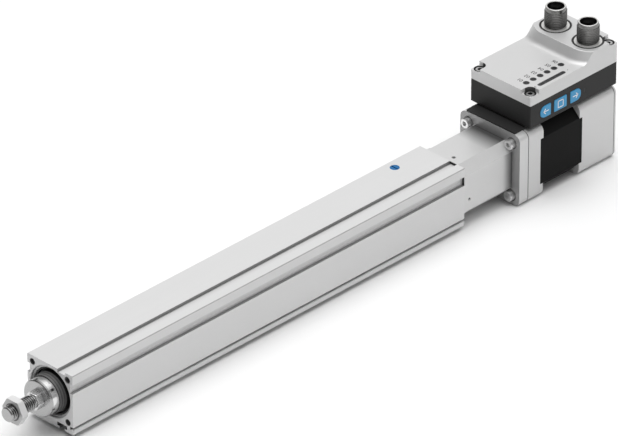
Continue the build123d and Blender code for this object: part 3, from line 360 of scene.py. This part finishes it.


# The cast cover: fine speckle, painted shade in the gaps round the lamps, the level bar and the connectors
# and in the screw pockets, and dark joints low down
castLook = {"light": 0.665, "dark": 0.62, "shadeAndJointGrey": 0.02, "metallic": 0.38, "roughness": 0.40, "ring": 0.92,
            "speckleScale": 2400.0, "cloudScale": 60.0, "speckleShare": 0.55, "shadeShift": 0.2,
            "wear": 0.14, "bump": (0.10, 0.04), "topReach": 0.1, "jointTop": 22.0,
            "screwMiddle": 356.35, "screwReach": 29.45, "screwSide": 17.85, "socket": 1.25,
            "pocket": 3.22, "pocketLow": 36.4, "pocketDrop": 0.05, "pocketShade": 0.85}
lamps = {"start": 330.6, "pitch": 5.22, "y": -11.5, "count": 6, "radius": 1.5, "rim": 0.28,
         "numberY": -7.2, "height": 3.3, "top": 43.8}
level = {"middle": 342.95, "half": 8.8, "y": -17.8, "radius": 0.95, "rim": 0.32}
plug = {"x": 377.1, "y": 11.5, "top": 61.4, "bore": 4.45, "boreEdge": 0.3, "flange": 7.8, "flangeLow": 47.3,
        "flangeEdge": 0.3, "foot": 5.6, "footLow": 46.1, "hump": 49.7, "relief": 5.4, "reliefTop": 50.6,
        "shoulder": 0.5, "under": 0.05, "threadTop": 59.0, "outer": 6.0, "inner": 5.7, "pitch": 1.0,
        "turnSteps": 64, "lead": 5.5, "leadLength": 0.3, "rimEdge": 0.35, "ring": 8.25, "ringGap": 0.35,
        "wall": 0.3, "drillDepth": 40.0, "drillSides": 64}


def fromScrew(x, y):  # from the nearest of the cover's four screws
    return distance(x.off(castLook["screwMiddle"]).size().off(castLook["screwReach"]),
                    y.size().off(castLook["screwSide"]))


def fromPlug(x, y):  # from the nearer connector's axis
    return distance(x.off(plug["x"]), y.size().off(plug["y"]))


def makeCast():
    paint = Paint("blastedCasting")
    look = castLook
    place = paint.place()
    x, y, z = paint.parts(place)
    speckle = paint.noise(place, look["speckleScale"], detail=4.0, rough=0.65)
    cloud = paint.noise(place, look["cloudScale"])
    shade = (speckle.blend(cloud, look["speckleShare"]) - look["shadeShift"]).unit()
    # painted shade in the gaps round the lamp windows and the level bar
    turn = x.off(lamps["start"]) / (lamps["pitch"] * mm)
    nearest = turn.rounded().above(0.0).below(lamps["count"] - 1.0)
    fromLamp = distance((turn - nearest) * (lamps["pitch"] * mm), y.off(lamps["y"]))
    fromLevel = distance(x.off(level["middle"]).size().off(level["half"]).above(0.0), y.off(level["y"]))
    windows = fromLamp.under(lamps["radius"] + lamps["rim"]) + fromLevel.under(level["radius"] + level["rim"])
    windows = windows * z.between(lamps["top"] - look["topReach"], lamps["top"] + look["topReach"])
    # painted shade in the gap round each connector
    rings = fromPlug(x, y).under(plug["ring"] + plug["ringGap"]) * z.over(plug["hump"] - look["topReach"])
    # painted shade in the screw pockets, whose top is higher on the hump
    humpRise = x.over(look["screwMiddle"]) * ((plug["hump"] - lamps["top"]) * mm)
    pocketTop = humpRise + (lamps["top"] - look["pocketDrop"]) * mm
    pocket = fromScrew(x, y).under(look["pocket"]) * (z < pocketTop) * z.over(look["pocketLow"])
    joint = seamMask(x) * z.under(look["jointTop"])
    # the painted shade, together with the real dark joints
    jointsAndPaintedShade = (windows + rings).below(1.0) * look["ring"]
    jointsAndPaintedShade = jointsAndPaintedShade.above(pocket * look["pocketShade"]).above(joint * machinedLook["seamShade"])
    colour = paint.mix(jointsAndPaintedShade, paint.greys(shade, look), grey(look["shadeAndJointGrey"]))
    roughness = look["roughness"] + speckle.swing(look["wear"])
    return paint.finish(colour, roughness, look["metallic"], paint.bump(speckle, *look["bump"]))


# Turned pieces: fine rings about the rod's axis
turning = {"seed": 0.3, "ringShare": 0.7, "bumpDepth": 0.02}
turnedLooks = {
    "chromedRod": {"name": "groundRod", "light": 0.80, "dark": 0.70, "roughness": 0.13, "wear": 0.14,
                   "ringScale": 3000.0, "cloudScale": 120.0, "strength": 0.06},
    "polished_steel": {"name": "polishedSteel", "light": 0.50, "dark": 0.38, "roughness": 0.24, "wear": 0.14,
                       "ringScale": 2400.0, "cloudScale": 120.0, "strength": 0.08}}
capLook = {"name": "turnedCap", "light": 0.58, "dark": 0.46, "shadeAndJointGrey": 0.02, "roughness": 0.34, "wear": 0.14,
           "metallic": 0.9, "ringScale": 2600.0, "cloudScale": 120.0, "strength": 0.25, "seat": 13.0,
           "depth": 1.25, "lines": (13.35, 13.85), "lineReach": 0.11, "lineShade": 0.75}
rodEnd = {"face": -8.8, "back": 6.7, "flangeBack": -7.3, "radius": 10.0, "edge": 0.55, "plug": 5.98,
          "hexFront": -12.5, "hexFlats": 9.0, "hexBevel": 0.35, "neck": 3.25, "neckEnd": -13.7,
          "overlap": 0.3, "threadStart": -29.1, "pitch": 1.25, "turnSteps": 48, "outer": 4.0,
          "inner": 3.3, "tip": -30.0, "tipRadius": 3.5, "tipEdge": 0.5, "tipOverlap": 0.1, "tipCone": 0.5,
          "tipEnd": 0.8}
rodEndLook = {"name": "rodEndSteel", "light": 0.50, "dark": 0.38, "roughness": 0.25, "wear": 0.12,
              "ringScale": 2400.0, "cloudScale": 140.0, "strength": 0.08, "hexFront": -12.7, "hexBack": -8.9,
              "flat": 0.86, "flatDull": 0.25, "root": 3.6, "rootShade": 0.85, "rootShadeGrey": 0.05}


def makeTurned(look, shadeIt=None):
    paint = Paint(look["name"])
    place = paint.place()
    x, y, z = paint.parts(place)
    radius = distance(y, z)
    spun = {0: radius * look["ringScale"], 1: x * look["ringScale"], 2: turning["seed"]}
    rings = paint.noise(paint.node("ShaderNodeCombineXYZ", None, spun), 1.0)
    cloud = paint.noise(place, look["cloudScale"], detail=2.0)
    plain = paint.greys(rings.blend(cloud, turning["ringShare"]), look)
    roughness = look["roughness"] + rings.swing(look["wear"])
    normal = paint.bump(rings, look["strength"], turning["bumpDepth"])
    colour, metallic = shadeIt(paint, x, radius, plain) if shadeIt else (plain, 1.0)
    return paint.finish(colour, roughness, metallic, normal)


def shadeCap(paint, x, radius, plain):  # painted shade on the seat behind the wiper and two painted shade lines round it
    look = capLook
    # painted shade on the seat, then two painted shade lines at the mouth's steps
    seat = x.over(look["depth"]) * radius.under(look["seat"])
    for line in look["lines"]:
        seat = seat.above(radius.near(line, look["lineReach"]) * look["lineShade"])
    return paint.mix(seat, plain, grey(look["shadeAndJointGrey"])), look["metallic"]


def shadeRodEnd(paint, x, radius, plain):  # brighter flats on the hexagon, and painted shade in the thread's roots
    look = rodEndLook
    hexagon = x.between(look["hexFront"], look["hexBack"])
    # painted shade in the thread's roots
    roots = x.between(rodEnd["threadStart"], look["hexFront"]) * radius.under(look["root"])
    plain = paint.mix(roots * look["rootShade"], plain, grey(look["rootShadeGrey"]))
    return paint.mix(hexagon, plain, grey(look["flat"])), 1.0 - hexagon * look["flatDull"]


# Steel, and the other small metal pieces
steelLooks = {
    "steel": {"name": "plainSteel", "light": 0.66, "dark": 0.52, "roughness": 0.24, "scale": 900.0},
    "brightSteel": {"name": "brightScrews", "light": 0.86, "dark": 0.74, "roughness": 0.30, "scale": 900.0},
    "dark_steel": {"name": "blackenedSteel", "light": 0.10, "dark": 0.06, "roughness": 0.40, "scale": 900.0},
    "magnet": {"name": "magnetGrey", "light": 0.30, "dark": 0.22, "roughness": 0.45, "scale": 700.0},
    "gold": {"name": "goldPins", "light": 0.62, "dark": 0.50, "roughness": 0.25, "scale": 900.0}}
steelGrain = {"alongShare": 0.25, "cloudScale": 210.0, "scratchShare": 0.5, "wear": 0.12,
              "bump": (0.08, 0.02)}


def makeSteel(look):
    paint = Paint(look["name"])
    place = paint.place()
    scale = look["scale"]
    brushed = paint.stretch(place, (scale, scale * steelGrain["alongShare"], scale))
    scratch = paint.noise(brushed, 1.0, detail=4.0, rough=0.65)
    cloud = paint.noise(place, steelGrain["cloudScale"])
    colour = paint.greys(scratch.blend(cloud, steelGrain["scratchShare"]), look)
    roughness = look["roughness"] + cloud.swing(steelGrain["wear"])
    return paint.finish(colour, roughness, 1.0, paint.bump(scratch, *steelGrain["bump"]))


# Nickel on the connectors: painted shade darkening the barrel towards its foot, a painted highlight on the
# top faces of the rim and the flange, and painted shade round the flange's edge
nickelLook = {"light": (0.24, 0.238, 0.232), "dark": (0.075, 0.074, 0.072), "bright": (0.78, 0.775, 0.76),
              "shadeAndJointGrey": 0.02, "roughness": 0.30, "rim": 61.2, "flange": 49.85, "low": 51.0, "high": 59.0,
              "edge": 7.35, "edgeShade": 0.9, "cloudScale": 420.0, "grainScale": 5200.0, "riseShare": 0.8,
              "cloudShare": 0.3, "shadeShift": 0.1, "wear": 0.14, "lipDull": 0.5, "bump": (0.08, 0.02)}


def makeNickel():
    paint = Paint("nickelPlate")
    look = nickelLook
    place = paint.place()
    x, y, z = paint.parts(place)
    cloud = paint.noise(place, look["cloudScale"])
    fine = paint.noise(place, look["grainScale"], detail=2.0)
    # painted shade: the barrel is darker towards its foot
    rise = (z.off(look["low"]) / ((look["high"] - look["low"]) * mm)).unit()
    shade = rise * look["riseShare"] + cloud * look["cloudShare"] - look["shadeShift"]
    # painted highlight: the top faces of the rim and the flange are lighter and less metallic
    lip = (z.over(look["rim"]) + z.under(look["flange"])).below(1.0)
    colour = paint.mix(lip, paint.mix(shade, look["dark"], look["light"]), look["bright"])
    # painted shade round the flange's edge
    colour = paint.mix(fromPlug(x, y).over(look["edge"]) * look["edgeShade"], colour, grey(look["shadeAndJointGrey"]))
    roughness = look["roughness"] + cloud.swing(look["wear"])
    return paint.finish(colour, roughness, 1.0 - lip * look["lipDull"], paint.bump(fine, *look["bump"]))


# Zinc plate on the thin nut, with painted shade on the end faces and in the countersink
zincLook = {"light": 0.80, "dark": 0.74, "face": 0.42, "faceGrey": 0.10, "front": -25.9, "back": -22.1,
            "sink": 4.8, "sinkShade": 0.8, "sinkGrey": 0.04, "metallic": 0.40, "roughness": 0.30,
            "cloudScale": 350.0, "grainScale": 4200.0, "wear": 0.1, "bump": (0.06, 0.02)}


def makeZinc():
    paint = Paint("zincPlate")
    look = zincLook
    place = paint.place()
    x, y, z = paint.parts(place)
    cloud = paint.noise(place, look["cloudScale"])
    fine = paint.noise(place, look["grainScale"], detail=2.0)
    # painted shade on the end faces
    ends = (x.under(look["front"]) + x.over(look["back"])).below(1.0)
    # painted shade in the countersink
    sink = distance(y, z).under(look["sink"])
    colour = paint.mix(ends * look["face"], paint.greys(cloud, look), grey(look["faceGrey"]))
    colour = paint.mix(sink * look["sinkShade"], colour, grey(look["sinkGrey"]))
    roughness = look["roughness"] + cloud.swing(look["wear"])
    return paint.finish(colour, roughness, look["metallic"], paint.bump(fine, *look["bump"]))


# The cover's screws: a light steel head, with painted shade in its socket
screwLook = {"light": 0.62, "dark": 0.50, "shadeAndJointGrey": 0.02, "socketShade": 0.85, "metallic": 0.9,
             "roughness": 0.28, "cloudScale": 500.0, "grainScale": 5000.0, "wear": 0.12, "bump": (0.06, 0.02)}


def makeCoverScrew():
    paint = Paint("coverScrew")
    look = screwLook
    place = paint.place()
    x, y = paint.parts(place)[:2]
    cloud = paint.noise(place, look["cloudScale"])
    fine = paint.noise(place, look["grainScale"], detail=2.0)
    # painted shade in the hex socket
    socket = fromScrew(x, y).under(castLook["socket"]) * look["socketShade"]
    colour = paint.mix(socket, paint.greys(cloud, look), grey(look["shadeAndJointGrey"]))
    roughness = look["roughness"] + cloud.swing(look["wear"])
    return paint.finish(colour, roughness, look["metallic"], paint.bump(fine, *look["bump"]))


# The wiper: fine rings on the lip, painted shade in the gap round it
wiperLook = {"light": 0.16, "dark": 0.030, "black": 0.006, "gapDepth": 0.9, "gapRadius": 11.05,
             "ringPitch": 1.5, "ringShare": 0.6, "grainScale": 1500.0, "roughness": 0.50, "wear": 0.12,
             "specular": 0.35, "bumpShare": 0.5, "bump": (0.25, 0.05)}


def makeWiper():
    paint = Paint("wiperRubber")
    look = wiperLook
    place = paint.place()
    x, y, z = paint.parts(place)
    grain = paint.noise(place, look["grainScale"])
    rings = (x * (2 * math.pi / (look["ringPitch"] * mm))).wave()
    # painted shade in the gap behind and round the lip
    gap = (x.over(look["gapDepth"]) + distance(y, z).over(look["gapRadius"])).below(1.0)
    colour = paint.mix(gap, paint.greys(rings.blend(grain, look["ringShare"]), look), grey(look["black"]))
    normal = paint.bump(rings.blend(grain, look["bumpShare"]), *look["bump"])
    return paint.finish(colour, look["roughness"] + grain.swing(look["wear"]), 0.0, normal, look["specular"])


# Rubber, plastics, prints and the two soft metals
plasticLooks = {
    "copper": {"name": "windingCopper", "light": (0.55, 0.24, 0.10), "dark": (0.38, 0.15, 0.06),
               "roughness": 0.35, "scale": 1400.0, "strength": 0.2},
    "bronze": {"name": "bushBronze", "light": (0.45, 0.30, 0.14), "dark": (0.34, 0.21, 0.10),
               "roughness": 0.4, "scale": 1600.0, "strength": 0.1},
    "black_rubber": {"name": "blackRubber", "light": grey(0.022), "dark": grey(0.012),
                     "roughness": 0.62, "scale": 2200.0, "strength": 0.2, "specular": 0.35},
    "black_plastic": {"name": "blackHousing", "light": grey(0.024), "dark": grey(0.018),
                      "roughness": 0.50, "scale": 2600.0, "strength": 0.20, "specular": 0.22},
    "insertPlastic": {"name": "insertPlastic", "light": grey(0.016), "dark": grey(0.010),
                      "roughness": 0.42, "scale": 1800.0, "strength": 0.1, "specular": 0.4},
    "blue_plastic": {"name": "keyBlue", "light": (0.042, 0.320, 0.600), "dark": (0.034, 0.285, 0.550),
                     "roughness": 0.38, "scale": 1700.0, "strength": 0.08, "specular": 0.4, "coat": 0.1},
    "plugBlue": {"name": "plugBlue", "light": (0.008, 0.150, 0.380), "dark": (0.005, 0.105, 0.290),
                 "roughness": 0.42, "scale": 1700.0, "strength": 0.08, "specular": 0.25},
    "board": {"name": "boardGreen", "light": (0.02, 0.16, 0.06), "dark": (0.012, 0.11, 0.04),
              "roughness": 0.4, "scale": 1500.0, "strength": 0.1},
    "white_plastic": {"name": "whitePlastic", "light": grey(0.72), "dark": grey(0.62),
                      "roughness": 0.45, "scale": 1500.0, "strength": 0.1},
    "red_rubber": {"name": "spiderRed", "light": (0.48, 0.05, 0.03), "dark": (0.36, 0.03, 0.02),
                   "roughness": 0.5, "scale": 1500.0, "strength": 0.1},
    "printGrey": {"name": "printGrey", "light": grey(0.022), "dark": grey(0.016),
                  "roughness": 0.5, "scale": 1500.0, "strength": 0.05, "specular": 0.1},
    "printWhite": {"name": "printWhite", "light": grey(0.88), "dark": grey(0.80),
                   "roughness": 0.5, "scale": 1500.0, "strength": 0.05}}
plasticGrain = {"cloudScale": 70.0, "grainShare": 0.6, "wear": 0.12, "bumpDepth": 0.04, "specular": 0.5}


def makePlastic(look):
    paint = Paint(look["name"])
    place = paint.place()
    grain = paint.noise(place, look["scale"], detail=3.0, rough=0.6)
    cloud = paint.noise(place, plasticGrain["cloudScale"], detail=2.0)
    colour = paint.mix(grain.blend(cloud, plasticGrain["grainShare"]), look["dark"], look["light"])
    roughness = look["roughness"] + grain.swing(plasticGrain["wear"])
    normal = paint.bump(grain, look["strength"], plasticGrain["bumpDepth"])
    specular = look.get("specular", plasticGrain["specular"])
    return paint.finish(colour, roughness, 0.0, normal, specular, look.get("coat", 0.0))


# The stator's stack: lacquered sheets
stackLook = {"light": 0.009, "dark": 0.005, "sheet": 0.5, "grainScale": 1800.0, "grainShare": 0.7,
             "roughness": 0.46, "wear": 0.12, "specular": 0.06, "bumpShare": 0.5, "bump": (0.12, 0.03)}


def makeLaminations():
    paint = Paint("lacqueredStack")
    look = stackLook
    place = paint.place()
    x = paint.parts(place)[0]
    sheets = (x * (2 * math.pi / (look["sheet"] * mm))).wave()
    grain = paint.noise(place, look["grainScale"])
    colour = paint.greys(grain.blend(sheets, look["grainShare"]), look)
    normal = paint.bump(sheets.blend(grain, look["bumpShare"]), *look["bump"])
    return paint.finish(colour, look["roughness"] + grain.swing(look["wear"]), 0.0, normal, look["specular"])


# Dark windows over the lamps and the level bar, which shows its segments
windowLook = {"body": (0.035, 0.035, 0.038), "edge": (0.008, 0.008, 0.009), "roughness": 0.30, "wear": 0.1,
              "specular": 0.35, "grainScale": 1500.0, "grainShare": 0.5, "barStart": 333.2, "barEnd": 352.7,
              "bars": 5, "barEdge": 0.6, "barShade": 0.8}


def makeWindow(name, withBars=False):
    paint = Paint(name)
    look = windowLook
    place = paint.place()
    grain = paint.noise(place, look["grainScale"], detail=2.0)
    shade = grain * look["grainShare"]
    if withBars:
        x = paint.parts(place)[0]
        perMetre = look["bars"] / ((look["barEnd"] - look["barStart"]) * mm)
        phase = (x.off(look["barStart"]) * perMetre * (2 * math.pi)).sine()
        shade = shade + (phase > look["barEdge"]) * look["barShade"]
    colour = paint.mix(shade.below(1.0), look["edge"], look["body"])
    return paint.finish(colour, look["roughness"] + grain.swing(look["wear"]), 0.0, None, look["specular"])


skins["extrusion"] = makeExtrusion()
skins["machined"] = makeMachined()
skins["cast_aluminium"] = makeCast()
skins["cap"] = makeTurned(capLook, shadeCap)
skins["rodEndSteel"] = makeTurned(rodEndLook, shadeRodEnd)
skins["zincPlate"] = makeZinc()
skins["coverScrew"] = makeCoverScrew()
skins["nickel"] = makeNickel()
skins["wiperRubber"] = makeWiper()
skins["laminations"] = makeLaminations()
skins["black_glass"] = makeWindow("lampWindow")
skins["levelBar"] = makeWindow("levelBar", withBars=True)
for make, looks in ((makeTurned, turnedLooks), (makeSteel, steelLooks), (makePlastic, plasticLooks)):
    for slotName, slotLook in looks.items():
        skins[slotName] = make(slotLook)
print("materials made:", len(skins))

# Most pieces take the skin of their record's slot, and these take one of their own
special = {"piston_rod": "chromedRod", "rod_wiper": "wiperRubber", "connector_inserts": "insertPlastic",
           "service_plug": "plugBlue", "level_window": "levelBar", "rod_nut": "zincPlate",
           "cover_screws": "coverScrew", "flange_screws": "brightSteel", "set_screws": "steel"}
for entry in frame["record"]["subparts"]:
    skin = skins[special.get(entry["node"], entry["material_slot"])]
    mesh = nodes[entry["node"]].data
    if not mesh.materials:
        mesh.materials.append(skin)
    for i in range(len(mesh.materials)):
        mesh.materials[i] = skin
print("CAD pieces dressed")


def dress(piece, skin, body):
    piece.data.materials.clear()
    piece.data.materials.append(skins[skin])
    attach(piece, body)


def makeLine(name, points, closed):  # a mesh of one line, to be screwed or spun
    clearPick()
    bpy.ops.mesh.primitive_plane_add(size=1.0)
    line = bpy.context.object
    line.name = name
    count = len(points)
    runs = count if closed else count - 1
    line.data.clear_geometry()
    line.data.from_pydata(points, [(i, (i + 1) % count) for i in range(runs)], [])
    return line


axisTurns = {"Z": Matrix.Identity(4), "X": Matrix.Rotation(math.radians(90), 4, "Y")}

# Helical thread: its profile turned by the Screw modifier, then trimmed and capped at both ends
threadForm = {"rise": 0.12, "crest": 0.44, "crestEnd": 0.56, "fall": 0.88,  # shares of the pitch
              "phase": 0.0037,  # keeps every corner off the planes that trim the ends
              "spareTurns": 2}  # the first and last turns have open ends, which are cut away


def makeThread(name, size, start, end, axis):
    form = threadForm
    pitch, crest, root = size["pitch"] * mm, size["outer"] * mm, size["inner"] * mm
    length = (end - start) * mm
    spare = form["spareTurns"] * pitch
    shape = ((root, 0.0), (root, form["rise"]), (crest, form["crest"]), (crest, form["crestEnd"]),
             (root, form["fall"]), (root, 1.0))
    piece = makeLine(name, [(radius, 0.0, (share + form["phase"]) * pitch) for radius, share in shape], False)
    screw = piece.modifiers.new("turns", "SCREW")
    screw.axis = "Z"
    screw.angle = 2 * math.pi
    screw.screw_offset = pitch
    screw.iterations = math.ceil(length / pitch) + 2 * form["spareTurns"]
    screw.steps = size["turnSteps"]
    screw.render_steps = size["turnSteps"]
    screw.use_merge_vertices = True
    screw.merge_threshold = weld["turns"] * mm
    applyAll(piece)
    outward(piece)
    editAll(piece)
    for height, way in ((spare, -1), (spare + length, 1)):
        bpy.ops.mesh.select_all(action="SELECT")
        bpy.ops.mesh.bisect(plane_co=(0, 0, height), plane_no=(0, 0, way), use_fill=True, clear_outer=True,
                            threshold=weld["trim"] * mm)
    bpy.ops.object.mode_set(mode="OBJECT")
    piece.data.transform(axisTurns[axis] @ Matrix.Translation((0, 0, start * mm - spare)))
    smoothOutward(piece)
    return piece


def makeTurnedForm(name, outline, axis):  # a closed outline of heights and radii, spun about an axis
    piece = makeLine(name, [(radius * mm, 0.0, height * mm) for height, radius in outline], True)
    editAll(piece)
    bpy.ops.mesh.spin(steps=96, angle=2 * math.pi, center=(0, 0, 0), axis=(0, 0, 1))
    bpy.ops.object.mode_set(mode="OBJECT")
    piece.data.transform(axisTurns[axis])
    smoothOutward(piece)
    return piece


def makeHexagon(size):
    bpy.ops.mesh.primitive_cylinder_add(vertices=6, radius=size["hexFlats"] / math.sqrt(3) * mm,
                                        depth=(size["face"] - size["hexFront"]) * mm,
                                        location=((size["face"] + size["hexFront"]) / 2 * mm, 0, 0),
                                        rotation=(0, math.radians(90), 0))
    hexagon = bpy.context.object
    settle(hexagon)
    editAll(hexagon)
    bpy.ops.mesh.bevel(offset=size["hexBevel"] * mm, segments=2, affect="EDGES")
    bpy.ops.object.mode_set(mode="OBJECT")
    return hexagon


def makeThreadedRodEnd(size):
    flange = makeTurnedForm("rodEndFace", (
        (size["face"], 0.0), (size["face"], size["radius"] - size["edge"]),
        (size["face"] + size["edge"], size["radius"]), (size["flangeBack"], size["radius"]),
        (size["flangeBack"], size["plug"]), (size["back"], size["plug"]), (size["back"], 0.0)), "X")
    clearPick()
    hexagon = makeHexagon(size)
    neckStart, neckStop = size["neckEnd"] - size["overlap"], size["hexFront"] + size["overlap"]
    neck = makeTurnedForm("rodEndNeck", (
        (neckStart, 0.0), (neckStart, size["neck"]), (neckStop, size["neck"]), (neckStop, 0.0)), "X")
    start = size["threadStart"]
    tip = makeTurnedForm("rodEndTip", (
        (size["tip"], 0.0), (size["tip"], size["tipRadius"]), (size["tip"] + size["tipEdge"], size["outer"]),
        (start + size["tipOverlap"], size["outer"]), (start + size["tipCone"], size["inner"]),
        (start + size["tipEnd"], 0.0)), "X")
    stud = makeThread("rodEndStud", size, start, size["neckEnd"], "X")
    threadedEnd = joinAll([flange, hexagon, neck, tip, stud], "threadedRodEnd")
    dress(threadedEnd, "rodEndSteel", "rod")
    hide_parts("rod_end")


makeThreadedRodEnd(rodEnd)
print("rod end threaded")


def makeBoredThread(size):  # the thread is a solid bar at first, so its middle is bored out
    wrap = makeThread("threadWrap", size, size["reliefTop"], size["threadTop"], "Z")
    clearPick()
    bpy.ops.mesh.primitive_cylinder_add(vertices=size["drillSides"], depth=size["drillDepth"] * mm,
                                        radius=(size["inner"] - size["wall"]) * mm,
                                        location=(0, 0, size["threadTop"] * mm))
    drill = bpy.context.object
    settle(drill)
    cut = wrap.modifiers.new("bored", "BOOLEAN")
    cut.operation = "DIFFERENCE"
    cut.object = drill
    cut.solver = "EXACT"
    applyAll(wrap)
    bpy.data.objects.remove(drill)
    return wrap


def makeConnector(name, way, size):
    body = size["inner"] - size["under"]
    shell = makeTurnedForm("shell", (
        (size["footLow"], size["bore"]), (size["footLow"], size["foot"]), (size["flangeLow"], size["foot"]),
        (size["flangeLow"], size["flange"]), (size["hump"] - size["flangeEdge"], size["flange"]),
        (size["hump"], size["flange"] - size["flangeEdge"]), (size["hump"], size["relief"]),
        (size["reliefTop"], size["relief"]), (size["reliefTop"] + size["shoulder"], body),
        (size["threadTop"] - size["leadLength"], body), (size["threadTop"], size["lead"]),
        (size["top"] - size["rimEdge"], size["lead"]), (size["top"], size["lead"] - size["rimEdge"]),
        (size["top"], size["bore"] + size["boreEdge"]), (size["top"] - size["boreEdge"], size["bore"])), "Z")
    socket = joinAll([shell, makeBoredThread(size)], name.split("_")[0] + "Socket")
    socket.data.transform(Matrix.Translation((size["x"] * mm, way * size["y"] * mm, 0)))
    dress(socket, "nickel", "housing")
    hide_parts(name)


makeConnector("power_connector", 1, plug)
makeConnector("logic_connector", -1, plug)
print("connectors threaded")

# Printed signs: text turned to mesh, a thin layer on the cover's top
signs = {"thick": 0.03, "lift": 0.005, "height": 3.0, "plus": (330.9, -17.7), "minus": (355.0, -17.6)}


def makeSign(name, words, height, x, y):
    clearPick()
    bpy.ops.object.text_add(location=(0, 0, 0))
    text = bpy.context.object.data
    text.body = words
    text.size = height * mm
    text.align_x = "CENTER"
    text.align_y = "CENTER"
    text.extrude = signs["thick"] / 2 * mm
    bpy.ops.object.convert(target="MESH")
    sign = bpy.context.object
    sign.name = name
    sign.data.transform(Matrix.Rotation(math.radians(90), 4, "Z"))
    sign.data.transform(Matrix.Translation(Vector((x, y, lamps["top"] + signs["lift"])) * mm))
    return sign


def printCover():
    numbers = []
    for i in range(lamps["count"]):
        digit = str(i + 1)
        x = lamps["start"] + lamps["pitch"] * i
        numbers.append(makeSign("lampNumber" + digit, "0" + digit, lamps["height"], x, lamps["numberY"]))
    levelEnds = [makeSign("levelPlus", "+", signs["height"], *signs["plus"]),
                 makeSign("levelMinus", "-", signs["height"], *signs["minus"])]
    for pieces, name in ((numbers, "lampNumbers"), (levelEnds, "levelSigns")):
        dress(joinAll(pieces, name), "printGrey", "housing")


printCover()

# White marks on the keys: arrows on the outer two, a square on the middle one
keyMarks = {"back": 335.3, "edit": 346.25, "forward": 357.5, "face": -21.45, "z": 29.05, "arrow": 3.6,
            "line": 0.55, "head": 1.3, "square": 1.9, "thick": 0.03, "proud": 0.006,
            "rounding": 0.4, "rounds": 3}
markY = keyMarks["face"] + keyMarks["thick"] / 2 - keyMarks["proud"]


def makeStroke(startX, startZ, endX, endZ):
    clearPick()
    width = keyMarks["line"]
    reach = math.hypot(endX - startX, endZ - startZ)
    bpy.ops.mesh.primitive_cube_add(size=1.0)
    stroke = bpy.context.object
    stroke.scale = ((reach + width) * mm, keyMarks["thick"] * mm, width * mm)
    settle(stroke)
    slope = math.atan2(endZ - startZ, endX - startX)
    middle = Vector(((startX + endX) / 2, markY, (startZ + endZ) / 2))
    stroke.data.transform(Matrix.Translation(middle * mm) @ Matrix.Rotation(-slope, 4, "Y"))
    bevel = stroke.modifiers.new("soft", "BEVEL")
    bevel.width = width * keyMarks["rounding"] * mm
    bevel.segments = keyMarks["rounds"]
    bevel.limit_method = "ANGLE"
    applyAll(stroke)
    return stroke


def makeArrow(name, x, way, body):
    half, head, z = keyMarks["arrow"] / 2, keyMarks["head"], keyMarks["z"]
    pointX = x + way * half
    strokes = [makeStroke(x - way * half, z, pointX, z)]
    for side in (-1, 1):
        strokes.append(makeStroke(x + way * (half - head), z + side * head, pointX, z))
    dress(joinAll(strokes, name), "printWhite", body)


def makeSquare(name, x, body):
    half, z = keyMarks["square"], keyMarks["z"]
    corners = [(x - half, z - half), (x + half, z - half), (x + half, z + half), (x - half, z + half)]
    strokes = [makeStroke(*corners[i - 1], *corners[i]) for i in (1, 2, 3, 0)]
    dress(joinAll(strokes, name), "printWhite", body)


makeArrow("arrowBack", keyMarks["back"], -1, "key_back")
makeArrow("arrowForward", keyMarks["forward"], 1, "key_forward")
makeSquare("squareEdit", keyMarks["edit"], "key_edit")
print("signs printed")

# Floor, light and camera
stage = {"floorZ": -21.2, "floorMetres": 12.0, "light": 0.88, "dark": 0.87, "noise": 4.0, "roughness": 0.9,
         "specular": 0.1}


def layFloor():
    clearPick()
    bpy.ops.mesh.primitive_plane_add(size=stage["floorMetres"], location=(0, 0, stage["floorZ"] * mm))
    floor = bpy.context.object
    floor.name = "studioFloor"
    paint = Paint("paleFloor")
    colour = paint.greys(paint.noise(paint.place(), stage["noise"]), stage)
    floor.data.materials.append(paint.finish(colour, stage["roughness"], specular=stage["specular"]))


sky = {"low": 0.04, "high": 4.8, "power": 8.0, "side": 0.21, "back": 0.85, "backPower": 2.0, "flank": 0.28,
       "flankPower": 4.0, "flankWay": (0.65, -0.55, 0.52)}


def lightSky():
    world = bpy.data.worlds.new("softStudio")
    bpy.context.scene.world = world
    world.use_nodes = True
    paint = Paint("softStudio", world.node_tree)
    x, y, z = paint.parts(paint.node("ShaderNodeTexCoord", output="Generated"))
    overhead = z.above(0.0) ** sky["power"] * sky["high"]
    toKeys = (0.0 - y).above(0.0) * sky["side"]
    toBack = ((x + y) * math.sqrt(0.5)).above(0.0) ** sky["backPower"] * sky["back"]
    wayX, wayY, wayZ = sky["flankWay"]
    toFlank = (x * wayX + y * wayY + z * wayZ).above(0.0) ** sky["flankPower"] * sky["flank"]
    strength = toFlank + sky["low"] + overhead + toKeys + toBack
    background = paint.node("ShaderNodeBackground", None, {0: asColour(grey(1.0)), 1: strength})
    paint.node("ShaderNodeOutputWorld", None, {0: background})


view = {"place": (-2.5702, -2.7009, 2.3587), "target": (0.18284, 0.0, 0.02157), "farClip": 20.0,  # in metres
        "lens": 519.08, "sensor": 36.0}


def setCamera():
    bpy.ops.object.camera_add(location=view["place"])
    camera = bpy.context.object
    sight = Vector(view["target"]) - Vector(view["place"])
    camera.rotation_euler = sight.to_track_quat("-Z", "Y").to_euler()
    camera.data.lens = view["lens"]
    camera.data.sensor_width = view["sensor"]
    camera.data.sensor_fit = "HORIZONTAL"
    camera.data.clip_end = view["farClip"]
    bpy.context.scene.camera = camera


layFloor()
lightSky()
setCamera()
bpy.context.scene.view_settings.view_transform = "Standard"
print("stage, light and camera set")
